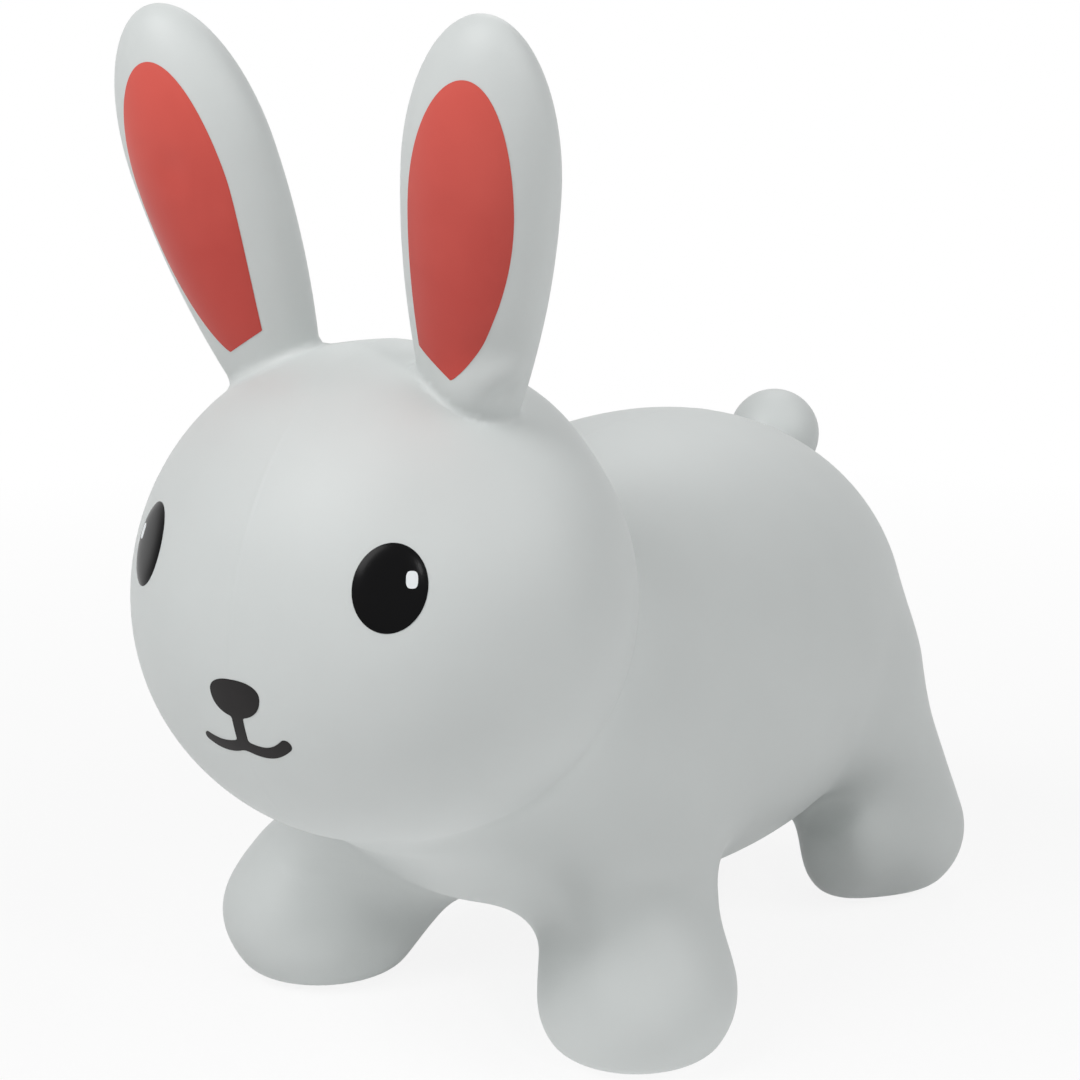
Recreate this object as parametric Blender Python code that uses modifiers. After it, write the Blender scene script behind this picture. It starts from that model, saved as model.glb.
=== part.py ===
"""Animal hopper: a hollow rabbit of soft PVC that a child sits on and bounces.

Metres, +Z up. The floor is z = 0, the rabbit faces -Y and its left side is +X.
Each swollen form is a distance field. A sphere's points run out along their rays to the field's surface,
and the same form at other levels gives the inner wall, the cutters and the printed ink.
"""

import math

import bmesh
import bpy
import numpy as np
from mathutils import Matrix, Vector

OBJECT_NAME = "animal_hopper"

# Skin, ink and clearances
WALL = 0.0020
INK_THICKNESS = 0.0004
GAP = 0.0003

# Torso: an egg along Y, fuller at the rump
TORSO_Y = 0.0322
TORSO_HEIGHT = 0.1545
TORSO_HALF_WIDTH = 0.1207
TORSO_HALF_LENGTH = 0.2100
TORSO_HALF_HEIGHT = 0.1179
TORSO_TAPER = 0.16
TORSO_TAPER_REACH = 1.3
TORSO_FULLNESS = 2.28

# Head: an ellipsoid with a soft muzzle, placed from the torso's front end
HEAD_FROM_CHEST = 0.0408
HEAD_ABOVE = 0.0733
HEAD_HALF_WIDTH = 0.1224
HEAD_HALF_LENGTH = 0.0992
HEAD_HALF_HEIGHT = 0.1134
MUZZLE_SWELL = 0.0119
MUZZLE_DROP_ANGLE = math.radians(24.0)
MUZZLE_SPREAD_ANGLE = 0.66

# Front legs: from hip to ankle, ending in a fuller foot, placed from the torso's front end
FRONT_HIP_OUT = 0.0544
FRONT_HIP_FROM_CHEST = 0.1513
FRONT_HIP_HEIGHT = 0.0993
FRONT_HIP_RADIUS = 0.0479
FRONT_ANKLE_OUT = 0.0907
FRONT_ANKLE_FROM_CHEST = 0.1154
FRONT_ANKLE_RADIUS = 0.0419
FRONT_FOOT_OUT = 0.0999
FRONT_FOOT_FROM_CHEST = 0.1024
FRONT_FOOT_HALF_WIDTH = 0.0439
FRONT_FOOT_HALF_LENGTH = 0.0450
FRONT_FOOT_HALF_HEIGHT = 0.0380

# Rear legs, placed from the torso's rear end
REAR_HIP_OUT = 0.0734
REAR_HIP_FROM_RUMP = 0.0776
REAR_HIP_HEIGHT = 0.1229
REAR_HIP_RADIUS = 0.0418
REAR_ANKLE_OUT = 0.0892
REAR_ANKLE_FROM_RUMP = 0.0380
REAR_ANKLE_RADIUS = 0.0376
REAR_FOOT_OUT = 0.0770
REAR_FOOT_FROM_RUMP = 0.0494
REAR_FOOT_HALF_WIDTH = 0.0307
REAR_FOOT_HALF_LENGTH = 0.0496
REAR_FOOT_HALF_HEIGHT = 0.0420

# How legs meet the foot, the torso and the floor
FOOT_BLEND = 0.0200
LEG_FILLET = 0.0277
FILLET_EDGE = 0.0020
SOLE_CUT = 0.0069

# Ears: held by a soft collar at the root, widest past the middle
EAR_ROOT_SIDE_ANGLE = math.radians(29.3)
EAR_ROOT_FORWARD_ANGLE = math.radians(4.6)
EAR_SPLAY_ANGLE = math.radians(12.2)
EAR_LEAN_ANGLE = math.radians(12.8)
EAR_LENGTH = 0.1701
EAR_ROOT_HALF_WIDTH = 0.0257
EAR_HALF_WIDTH = 0.0382
EAR_WIDEST = 0.0974
EAR_FLATNESS = 0.65
EAR_BURIED = 0.0300
COLLAR_HEIGHT = 0.0112

# Tail: a ball sunk in the rump by half its radius
TAIL_RADIUS = 0.0249
TAIL_RISE_ANGLE = math.radians(25.7)
TAIL_PROUD = 0.0116

# Printed eyes and their glints
EYE_SIDE_ANGLE = math.radians(38.9)
EYE_RISE_ANGLE = math.radians(14.1)
EYE_HALF_WIDTH = 0.0160
EYE_HALF_HEIGHT = 0.0193
EYE_TILT_ANGLE = math.radians(11.7)
GLINT_OUT = 0.0089
GLINT_UP = 0.0044
GLINT_HALF_WIDTH = 0.0029
GLINT_HALF_HEIGHT = 0.0040

# Printed nose and mouth, heights below the head's centre
NOSE_DROP = 0.0269
NOSE_HALF_WIDTH = 0.0134
NOSE_HALF_HEIGHT = 0.0088
NOSE_TOP_WIDENING = 0.16
MOUTH_DROP = 0.0510
MOUTH_HALF_WIDTH = 0.0225
MOUTH_DIP_OUT = 0.0110
MOUTH_CORNER_RISE = 0.0050
MOUTH_MIDDLE_RISE = 0.0025
STROKE_HALF_WIDTH = 0.0024

# Printed inner ear, measured along the ear from its root
INNER_EAR_HALF_WIDTH = 0.0258
INNER_EAR_WIDEST = 0.0911
INNER_EAR_TOP = 0.1491
INNER_EAR_TIP = 0.0133
INNER_EAR_CORNER = 0.0200
INNER_EAR_CORNER_HALF_WIDTH = 0.0189
INNER_EAR_INNER_CURVE = 1.7
INNER_EAR_OUTER_CURVE = 0.7
INNER_EAR_SHIFT_LEFT = 0.0033
INNER_EAR_SHIFT_RIGHT = 0.0

# Air valve in the belly
VALVE_Y = 0.0740
VALVE_BORE_RADIUS = 0.0048
VALVE_NECK_RADIUS = 0.0097
VALVE_NECK_LENGTH = 0.0080
VALVE_FLANGE_RADIUS = 0.0130
VALVE_FLANGE_THICKNESS = 0.0016
VALVE_GROOVE = 0.0042
PLUG_HEAD_RADIUS = 0.0090
PLUG_HEAD_THICKNESS = 0.0024
PLUG_STEM_LENGTH = 0.0140
PLUG_STEM_TAPER = 0.0006

# Facets of each form: around, then along
TORSO_FACETS = (24, 14)
HEAD_FACETS = (24, 14)
LEG_FACETS = (18, 10)
EAR_FACETS = (16, 12)
TAIL_FACETS = (12, 6)
OUTLINE_POINTS = 20
TURNED_STEPS = 20
SEARCH_REACH = 0.45
SEARCH_HALVINGS = 40
SMOOTH_ANGLE = math.radians(40)
WELD_DISTANCE = 1e-6
TURNED_WELD_DISTANCE = 1e-5
TINY = 1e-9

# Finishes: colour as seen, roughness
PVC_GREY = ("C9CBCB", 0.48)
INK_BLACK = ("0F0F11", 0.30)
INK_CHARCOAL = ("363536", 0.40)
INK_WHITE = ("E3EAED", 0.40)
INK_PINK = ("C6584E", 0.38)
VALVE_RUBBER = ("BFC1C1", 0.55)

SIDES = {"left": 1, "right": -1}
TORSO_CENTRE = np.array((0.0, TORSO_Y, TORSO_HEIGHT))
CHEST_Y = TORSO_Y - TORSO_HALF_LENGTH
RUMP_Y = TORSO_Y + TORSO_HALF_LENGTH
HEAD_CENTRE = np.array((0.0, CHEST_Y + HEAD_FROM_CHEST, TORSO_HEIGHT + HEAD_ABOVE))
FRONT_FOOT_HEIGHT = FRONT_FOOT_HALF_HEIGHT - SOLE_CUT
FRONT_HIP = np.array((FRONT_HIP_OUT, CHEST_Y + FRONT_HIP_FROM_CHEST, FRONT_HIP_HEIGHT))
FRONT_ANKLE = np.array((FRONT_ANKLE_OUT, CHEST_Y + FRONT_ANKLE_FROM_CHEST, FRONT_FOOT_HEIGHT))
FRONT_FOOT = np.array((FRONT_FOOT_OUT, CHEST_Y + FRONT_FOOT_FROM_CHEST, FRONT_FOOT_HEIGHT))
REAR_FOOT_HEIGHT = REAR_FOOT_HALF_HEIGHT - SOLE_CUT
REAR_HIP = np.array((REAR_HIP_OUT, RUMP_Y - REAR_HIP_FROM_RUMP, REAR_HIP_HEIGHT))
REAR_ANKLE = np.array((REAR_ANKLE_OUT, RUMP_Y - REAR_ANKLE_FROM_RUMP, REAR_FOOT_HEIGHT))
REAR_FOOT = np.array((REAR_FOOT_OUT, RUMP_Y - REAR_FOOT_FROM_RUMP, REAR_FOOT_HEIGHT))


# Distance fields: negative inside, metres near the surface


def unit(vector):
    """Vector scaled to length one."""
    return np.asarray(vector, dtype=float) / np.linalg.norm(vector)


def smooth_union(first, second, reach):
    """Union of two fields, filleted where both lie within reach of each other."""
    share = np.clip(0.5 + 0.5 * (second - first) / reach, 0, 1)
    return second + (first - second) * share - reach * share * (1 - share)


def ellipsoid_field(away, radii):
    """Near distance to an ellipsoid, for points given from its centre."""
    away = np.abs(away) + TINY
    size = np.linalg.norm(away / radii, axis=-1)
    slope = np.linalg.norm(away / np.square(radii), axis=-1)
    return size * (size - 1) / slope


def limb_field(points, start, end, start_radius, end_radius):
    """Distance to a round-ended limb whose radius runs evenly from start to end."""
    run = end - start
    share = np.clip((points - start) @ run / (run @ run), 0, 1)
    nearest = start + share[..., None] * run
    return np.linalg.norm(points - nearest, axis=-1) - (start_radius + share * (end_radius - start_radius))


def torso_field(points):
    """Egg: a full ellipse along Y, with cross sections that grow towards the rump."""
    away = points - TORSO_CENTRE
    along = away[..., 1] / TORSO_HALF_LENGTH
    swell = 1 + TORSO_TAPER * np.clip(along, -TORSO_TAPER_REACH, TORSO_TAPER_REACH)
    side = away[..., 0] / TORSO_HALF_WIDTH / swell
    rise = away[..., 2] / TORSO_HALF_HEIGHT / swell
    across = np.maximum(np.hypot(side, rise), TINY)
    size = (across**TORSO_FULLNESS + np.abs(along) ** TORSO_FULLNESS) ** (1 / TORSO_FULLNESS)
    across_slope = (across / size) ** (TORSO_FULLNESS - 1)
    slope = np.sqrt(
        (across_slope * side / across / TORSO_HALF_WIDTH) ** 2
        + (across_slope * rise / across / TORSO_HALF_HEIGHT) ** 2
        + ((np.abs(along) / size) ** (TORSO_FULLNESS - 1) / TORSO_HALF_LENGTH) ** 2
    )
    return (size - 1) / slope


def head_field(points):
    """Ellipsoid that swells by a bell-shaped amount around the muzzle's direction."""
    away = points - HEAD_CENTRE
    muzzle = np.array((0.0, -math.cos(MUZZLE_DROP_ANGLE), -math.sin(MUZZLE_DROP_ANGLE)))
    facing = away @ muzzle / np.maximum(np.linalg.norm(away, axis=-1), TINY)
    off_axis = np.arccos(np.clip(facing, -1, 1))
    swell = MUZZLE_SWELL * np.exp(-0.5 * (off_axis / MUZZLE_SPREAD_ANGLE) ** 2)
    return ellipsoid_field(away, np.array((HEAD_HALF_WIDTH, HEAD_HALF_LENGTH, HEAD_HALF_HEIGHT))) - swell


def leg_field(points, hip, ankle, foot, radii, foot_radii):
    """Limb joined to a foot, flared into the torso, cut at the floor and at the middle plane."""
    limb = limb_field(points, hip, ankle, *radii)
    leg = smooth_union(limb, ellipsoid_field(points - foot, foot_radii), FOOT_BLEND)
    off_torso = np.clip(torso_field(points), 0, None) + FILLET_EDGE
    flare = np.square(np.clip(math.sqrt(LEG_FILLET) - np.sqrt(off_torso), 0, None))
    bounds = np.maximum(-points[..., 2], GAP - points[..., 0])
    return np.maximum(leg - flare, bounds)


def front_leg_field(points):
    """Front left leg."""
    radii = (FRONT_HIP_RADIUS, FRONT_ANKLE_RADIUS)
    foot_radii = np.array((FRONT_FOOT_HALF_WIDTH, FRONT_FOOT_HALF_LENGTH, FRONT_FOOT_HALF_HEIGHT))
    return leg_field(points, FRONT_HIP, FRONT_ANKLE, FRONT_FOOT, radii, foot_radii)


def rear_leg_field(points):
    """Rear left leg."""
    radii = (REAR_HIP_RADIUS, REAR_ANKLE_RADIUS)
    foot_radii = np.array((REAR_FOOT_HALF_WIDTH, REAR_FOOT_HALF_LENGTH, REAR_FOOT_HALF_HEIGHT))
    return leg_field(points, REAR_HIP, REAR_ANKLE, REAR_FOOT, radii, foot_radii)


def ear_field(points):
    """Left ear: flattened sections that widen to the widest point, then an elliptic tip."""
    away = (points - EAR_ROOT) @ EAR_FRAME.T
    side, depth, along = away[..., 0], away[..., 1], away[..., 2]
    taper = np.clip((EAR_WIDEST - along) / EAR_WIDEST, 0, None) ** 2
    half_width = np.maximum(EAR_HALF_WIDTH - (EAR_HALF_WIDTH - EAR_ROOT_HALF_WIDTH) * taper, GAP)
    section = np.stack((half_width, half_width * EAR_FLATNESS), axis=-1)
    shaft = ellipsoid_field(np.stack((side, depth), axis=-1), section)
    tip_radii = np.array((EAR_HALF_WIDTH, EAR_HALF_WIDTH * EAR_FLATNESS, EAR_LENGTH - EAR_WIDEST))
    tip = ellipsoid_field(np.stack((side, depth, along - EAR_WIDEST), axis=-1), tip_radii)
    return np.maximum(np.where(along < EAR_WIDEST, shaft, tip), -EAR_BURIED - along)


def tail_field(points):
    """Ball."""
    return np.linalg.norm(points - TAIL_CENTRE, axis=-1) - TAIL_RADIUS


def reach_along(field, start, rays, level=0.0):
    """Distance along each ray from start at which the field rises to level, found by halving."""
    near = np.zeros(len(rays))
    far = np.full(len(rays), SEARCH_REACH)
    for _ in range(SEARCH_HALVINGS):
        middle = (near + far) / 2
        inside = field(start + rays * middle[:, None]) < level
        near = np.where(inside, middle, near)
        far = np.where(inside, far, middle)
    return far


def surface_point(field, start, ray):
    """Point where one ray from start leaves a form."""
    ray = unit(ray)
    return np.asarray(start) + ray * reach_along(field, np.asarray(start), ray[None])[0]


def slope_at(field, point):
    """Outward unit normal of a field at a point."""
    steps = np.eye(3) * GAP
    return unit(field(point + steps) - field(point - steps))


def frame_along(run):
    """Three right-handed unit directions, the last one along run."""
    along = unit(run)
    side = unit(np.cross((0.0, 1.0, 0.0), along))
    return np.array((side, np.cross(along, side), along))


# Places that follow from the forms

EAR_ROOT_RAY = np.array(
    (
        math.sin(EAR_ROOT_SIDE_ANGLE) * math.cos(EAR_ROOT_FORWARD_ANGLE),
        -math.sin(EAR_ROOT_FORWARD_ANGLE),
        math.cos(EAR_ROOT_SIDE_ANGLE) * math.cos(EAR_ROOT_FORWARD_ANGLE),
    )
)
EAR_ROOT = surface_point(head_field, HEAD_CENTRE, EAR_ROOT_RAY)
EAR_AXIS = np.array(
    (
        math.sin(EAR_SPLAY_ANGLE),
        -math.sin(EAR_LEAN_ANGLE) * math.cos(EAR_SPLAY_ANGLE),
        math.cos(EAR_LEAN_ANGLE) * math.cos(EAR_SPLAY_ANGLE),
    )
)
EAR_OUTWARD = unit(np.cross(EAR_AXIS, (0.0, -1.0, 0.0)))
EAR_FRONT = np.cross(EAR_OUTWARD, EAR_AXIS)
EAR_FRAME = np.array((EAR_OUTWARD, -EAR_FRONT, EAR_AXIS))
COLLAR_NORMAL = slope_at(head_field, EAR_ROOT)
EAR_PIVOT = EAR_ROOT + EAR_AXIS * COLLAR_HEIGHT / (EAR_AXIS @ COLLAR_NORMAL)
EAR_HINGE_AXIS = unit(np.array((1.0, 0.0, 0.0)) - COLLAR_NORMAL[0] * COLLAR_NORMAL)

TAIL_RAY = np.array((0.0, math.cos(TAIL_RISE_ANGLE), math.sin(TAIL_RISE_ANGLE)))
TAIL_CENTRE = surface_point(torso_field, TORSO_CENTRE, TAIL_RAY) + TAIL_RAY * TAIL_PROUD

EYE_RAY = np.array(
    (
        math.sin(EYE_SIDE_ANGLE) * math.cos(EYE_RISE_ANGLE),
        -math.cos(EYE_SIDE_ANGLE) * math.cos(EYE_RISE_ANGLE),
        math.sin(EYE_RISE_ANGLE),
    )
)
EYE_CENTRE = surface_point(head_field, HEAD_CENTRE, EYE_RAY)
EYE_NORMAL = slope_at(head_field, EYE_CENTRE)
EYE_OUTWARD = unit(np.cross((0.0, 0.0, 1.0), EYE_NORMAL))
EYE_UP = np.cross(EYE_NORMAL, EYE_OUTWARD)

BELLY = surface_point(torso_field, (0.0, VALVE_Y, TORSO_HEIGHT), (0.0, 0.0, -1.0))


# Building blocks

for leftover in list(bpy.data.objects):
    bpy.data.objects.remove(leftover, do_unlink=True)

PARTS = bpy.data.collections.new(OBJECT_NAME)
CUTTERS = bpy.data.collections.new("cutters")
bpy.context.scene.collection.children.link(PARTS)
bpy.context.scene.collection.children.link(CUTTERS)


def linear(hex_colour):
    """Linear colour with alpha from a hex colour as seen on a screen."""
    seen = [int(hex_colour[i : i + 2], 16) / 255 for i in (0, 2, 4)]
    return [c / 12.92 if c <= 0.04045 else ((c + 0.055) / 1.055) ** 2.4 for c in seen] + [1.0]


def part(name, mesh, finish, origin=(0.0, 0.0, 0.0)):
    """Named piece with its own material; its mesh is shifted so that its origin lies where asked."""
    mesh.transform(Matrix.Translation(-Vector(origin)))
    piece = bpy.data.objects.new(name, mesh)
    piece.location = origin
    PARTS.objects.link(piece)
    material = bpy.data.materials.new(name + "_finish")
    material.use_nodes = True
    shader = material.node_tree.nodes["Principled BSDF"]
    shader.inputs["Base Color"].default_value = linear(finish[0])
    shader.inputs["Roughness"].default_value = finish[1]
    shader.inputs["Metallic"].default_value = 0.0
    mesh.materials.append(material)
    mesh.shade_smooth()
    mesh.set_sharp_from_angle(angle=SMOOTH_ANGLE)
    return piece


def cutter(name, mesh):
    """Hidden solid used only for cutting."""
    tool = bpy.data.objects.new(name, mesh)
    tool.hide_render = True
    tool.display_type = "WIRE"
    CUTTERS.objects.link(tool)
    return tool


def combine(piece, tool, operation="DIFFERENCE"):
    """Cut, join or keep what is shared with a tool."""
    modifier = piece.modifiers.new(tool.name, "BOOLEAN")
    modifier.operation = operation
    modifier.solver = "EXACT"
    modifier.object = tool


def form_mesh(name, form, level=0.0, side=1):
    """Closed mesh of a form at one level of its field, mirrored in X for the right side."""
    sphere = bmesh.new()
    around, along = form["facets"]
    bmesh.ops.create_uvsphere(sphere, u_segments=around, v_segments=along, radius=1.0)
    bmesh.ops.triangulate(sphere, faces=sphere.faces, quad_method="FIXED")
    mesh = bpy.data.meshes.new(name)
    sphere.to_mesh(mesh)
    sphere.free()
    points = np.empty(3 * len(mesh.vertices), dtype=np.float32)
    mesh.vertices.foreach_get("co", points)
    rays = (points.reshape(-1, 3) * form["spread"]) @ form["frame"]
    rays /= np.linalg.norm(rays, axis=1)[:, None]
    reach = reach_along(form["field"], form["centre"], rays, level)
    points = form["centre"] + rays * reach[:, None]
    points[:, 0] *= side
    mesh.vertices.foreach_set("co", points.astype(np.float32).ravel())
    if side < 0:
        mesh.flip_normals()
    mesh.update()
    return mesh


def prism_mesh(name, outline, depth, place):
    """Flat outline extruded by depth to both sides of its plane, then put in place."""
    curve = bpy.data.curves.new(name, "CURVE")
    curve.dimensions = "2D"
    curve.fill_mode = "BOTH"
    curve.extrude = depth
    spline = curve.splines.new("POLY")
    spline.points.add(len(outline) - 1)
    spline.points.foreach_set("co", np.pad(outline, ((0, 0), (0, 2))).astype(np.float32).ravel())
    spline.use_cyclic_u = True
    drawn = bpy.data.objects.new(name, curve)
    CUTTERS.objects.link(drawn)
    bpy.context.view_layer.update()
    mesh = bpy.data.meshes.new_from_object(drawn.evaluated_get(bpy.context.evaluated_depsgraph_get()))
    bpy.data.objects.remove(drawn, do_unlink=True)
    welded = bmesh.new()
    welded.from_mesh(mesh)
    bmesh.ops.remove_doubles(welded, verts=welded.verts, dist=WELD_DISTANCE)
    bmesh.ops.transform(welded, matrix=place, verts=welded.verts)
    bmesh.ops.recalc_face_normals(welded, faces=welded.faces)
    welded.to_mesh(mesh)
    welded.free()
    return mesh


def placed(origin, first, second, third, side=1):
    """Matrix that carries flat X, flat Y and depth to three world directions, mirrored for the right."""
    columns = Matrix((first, second, third)).transposed().to_4x4()
    return Matrix.Diagonal((side, 1, 1, 1)) @ Matrix.Translation(origin) @ columns


def turned_part(name, profile, closed, finish, origin):
    """Profile of (radius, height) points, top to bottom down its outer side, turned about Z."""
    mesh = bpy.data.meshes.new(name)
    count = len(profile)
    edges = [(i, (i + 1) % count) for i in range(count if closed else count - 1)]
    mesh.from_pydata([(r, 0.0, z) for r, z in profile], edges, [])
    piece = part(name, mesh, finish)
    piece.location = origin
    turn = piece.modifiers.new("turn", "SCREW")
    turn.steps = TURNED_STEPS
    turn.render_steps = TURNED_STEPS
    turn.use_merge_vertices = True
    turn.merge_threshold = TURNED_WELD_DISTANCE
    turn.use_smooth_shade = False
    return piece


def ellipse(half_width, half_height):
    """Outline of an ellipse about the origin."""
    turn = np.linspace(0, 2 * math.pi, OUTLINE_POINTS, endpoint=False)
    return np.stack((half_width * np.cos(turn), half_height * np.sin(turn)), axis=1)


# Forms

FORMS = {
    "torso": {
        "field": torso_field,
        "centre": TORSO_CENTRE,
        "spread": np.array((TORSO_HALF_WIDTH, TORSO_HALF_HEIGHT, TORSO_HALF_LENGTH)),
        "frame": np.array(((1.0, 0.0, 0.0), (0.0, 0.0, 1.0), (0.0, -1.0, 0.0))),
        "facets": TORSO_FACETS,
    },
    "head": {
        "field": head_field,
        "centre": HEAD_CENTRE,
        "spread": np.array((HEAD_HALF_WIDTH, HEAD_HALF_LENGTH, HEAD_HALF_HEIGHT)),
        "frame": np.eye(3),
        "facets": HEAD_FACETS,
    },
    "front_leg": {
        "field": front_leg_field,
        "centre": FRONT_FOOT,
        "spread": np.ones(3),
        "frame": frame_along(FRONT_HIP - FRONT_FOOT),
        "facets": LEG_FACETS,
    },
    "rear_leg": {
        "field": rear_leg_field,
        "centre": REAR_FOOT,
        "spread": np.ones(3),
        "frame": frame_along(REAR_HIP - REAR_FOOT),
        "facets": LEG_FACETS,
    },
    "ear": {
        "field": ear_field,
        "centre": EAR_ROOT + EAR_AXIS * (EAR_LENGTH - EAR_BURIED) / 2,
        "spread": np.array((EAR_HALF_WIDTH, EAR_HALF_WIDTH * EAR_FLATNESS, (EAR_LENGTH + EAR_BURIED) / 2)),
        "frame": EAR_FRAME,
        "facets": EAR_FACETS,
    },
    "tail": {
        "field": tail_field,
        "centre": TAIL_CENTRE,
        "spread": np.ones(3),
        "frame": np.eye(3),
        "facets": TAIL_FACETS,
    },
}


def form_cutter(kind, level, side=1):
    """Cutter of a form, at one level of its field."""
    name = "_".join(("cut", kind, "left" if side > 0 else "right", str(round(level * 1e6))))
    if name not in bpy.data.objects:
        cutter(name, form_mesh(name, FORMS[kind], level, side))
    return bpy.data.objects[name]


def skin_part(name, kind, cutters, side=1, origin=(0.0, 0.0, 0.0)):
    """Skin of a form, cut by its neighbours and then hollowed to its wall."""
    piece = part(name, form_mesh(name, FORMS[kind], 0.0, side), PVC_GREY, origin)
    for tool in cutters:
        combine(piece, tool)
    combine(piece, form_cutter(kind, -WALL, side))


def half_space(name, point, normal, side=1):
    """Large block that fills everything on the far side of a plane."""
    block = bmesh.new()
    size = 2 * EAR_LENGTH
    bmesh.ops.create_cube(block, size=size)
    facing = Vector(normal).to_track_quat("Z", "Y").to_matrix().to_4x4()
    place = Matrix.Translation(Vector(point)) @ facing @ Matrix.Translation((0, 0, size / 2))
    bmesh.ops.transform(block, matrix=Matrix.Diagonal((side, 1, 1, 1)) @ place, verts=block.verts)
    bmesh.ops.recalc_face_normals(block, faces=block.faces)
    mesh = bpy.data.meshes.new(name)
    block.to_mesh(mesh)
    block.free()
    return cutter(name, mesh)


def print_part(name, kind, prism, finish, side=1, origin=(0.0, 0.0, 0.0)):
    """Film of ink that lies on a form within an outline."""
    piece = part(name, prism, finish, origin)
    combine(piece, form_cutter(kind, GAP + INK_THICKNESS, side), "INTERSECT")
    combine(piece, form_cutter(kind, GAP, side))
    return piece


# Skin


def valve_clearance(name, radius, bottom):
    """Round cutter that leaves room in the skin for the valve, upwards from a height near the belly."""
    room = bmesh.new()
    height = 4 * VALVE_FLANGE_RADIUS
    place = Matrix.Translation(Vector(BELLY) + Vector((0, 0, bottom + height / 2)))
    bmesh.ops.create_cone(
        room, cap_ends=True, segments=TURNED_STEPS, radius1=radius, radius2=radius, depth=height, matrix=place
    )
    mesh = bpy.data.meshes.new(name)
    room.to_mesh(mesh)
    room.free()
    return cutter(name, mesh)


def build_torso():
    """Torso skin, open to the head, legs and tail, with a hole for the valve."""
    limbs = [form_cutter(kind, -WALL, side) for kind in ("front_leg", "rear_leg") for side in SIDES.values()]
    neck = valve_clearance("cut_valve_neck", VALVE_NECK_RADIUS + GAP, -VALVE_FLANGE_RADIUS)
    flange = valve_clearance("cut_valve_flange", VALVE_FLANGE_RADIUS + GAP, VALVE_GROOVE - 2 * GAP)
    openings = [form_cutter("head", -WALL), *limbs, form_cutter("tail", -WALL), neck, flange]
    skin_part("body_skin", "torso", openings)


def build_head():
    """Head skin, seated on the torso and open to the ears."""
    ears = [form_cutter("ear", -WALL, side) for side in SIDES.values()]
    skin_part("head_skin", "head", [form_cutter("torso", GAP), *ears])


def build_legs():
    """Four leg skins, seated on the torso and clear of the head."""
    seats = [form_cutter("torso", GAP), form_cutter("head", GAP)]
    for word, side in SIDES.items():
        skin_part(f"front_{word}_leg_skin", "front_leg", seats, side)
        skin_part(f"rear_{word}_leg_skin", "rear_leg", seats, side)


def build_ears():
    """Each ear: a collar on the head, and the ear that flexes on it."""
    half_gap = COLLAR_NORMAL * GAP / 2
    for word, side in SIDES.items():
        above = half_space(f"cut_above_{word}_collar", EAR_PIVOT - half_gap, COLLAR_NORMAL, side)
        below = half_space(f"cut_below_{word}_collar", EAR_PIVOT + half_gap, -COLLAR_NORMAL, side)
        skin_part(f"{word}_ear_root", "ear", [above, form_cutter("head", GAP)], side)
        skin_part(f"{word}_ear_skin", "ear", [below], side, EAR_PIVOT * (side, 1, 1))


def build_tail():
    """Tail skin, seated on the rump."""
    skin_part("tail_skin", "tail", [form_cutter("torso", GAP)])


# Ink


def build_eyes():
    """Oval eyes with a small glint let into each."""
    lean_side, lean_up = math.sin(EYE_TILT_ANGLE), math.cos(EYE_TILT_ANGLE)
    across = EYE_OUTWARD * lean_up - EYE_UP * lean_side
    upward = EYE_OUTWARD * lean_side + EYE_UP * lean_up
    glint_centre = EYE_CENTRE + EYE_OUTWARD * GLINT_OUT + EYE_UP * GLINT_UP
    for word, side in SIDES.items():
        eye_place = placed(EYE_CENTRE, across, upward, EYE_NORMAL, side)
        glint_place = placed(glint_centre, across, upward, EYE_NORMAL, side)
        eye_prism = prism_mesh("eye", ellipse(EYE_HALF_WIDTH, EYE_HALF_HEIGHT), EYE_HALF_HEIGHT, eye_place)
        eye = print_part(f"{word}_eye_print", "head", eye_prism, INK_BLACK)
        hole = ellipse(GLINT_HALF_WIDTH + GAP, GLINT_HALF_HEIGHT + GAP)
        hole_prism = prism_mesh("glint_hole", hole, EYE_HALF_HEIGHT, glint_place)
        combine(eye, cutter(f"cut_{word}_glint", hole_prism))
        glint_outline = ellipse(GLINT_HALF_WIDTH, GLINT_HALF_HEIGHT)
        glint_prism = prism_mesh("glint", glint_outline, EYE_HALF_HEIGHT, glint_place)
        print_part(f"{word}_eye_glint", "head", glint_prism, INK_WHITE)


def nose_outline():
    """Rounded nose, wider above than below: an ellipse whose width grows with height."""
    turn = np.linspace(0, 2 * math.pi, OUTLINE_POINTS, endpoint=False)
    widen = 1 + NOSE_TOP_WIDENING * np.sin(turn)
    across = NOSE_HALF_WIDTH * np.cos(turn) * widen
    return np.stack((across, NOSE_HALF_HEIGHT * np.sin(turn) - NOSE_DROP), axis=1)


def mouth_height(out):
    """Height of the mouth's line: it dips between the middle and each corner."""
    inner = MOUTH_MIDDLE_RISE * (1 - out / MOUTH_DIP_OUT) ** 2
    outer = MOUTH_CORNER_RISE * ((out - MOUTH_DIP_OUT) / (MOUTH_HALF_WIDTH - MOUTH_DIP_OUT)) ** 2
    return np.where(out < MOUTH_DIP_OUT, inner, outer) - MOUTH_DROP


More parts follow.
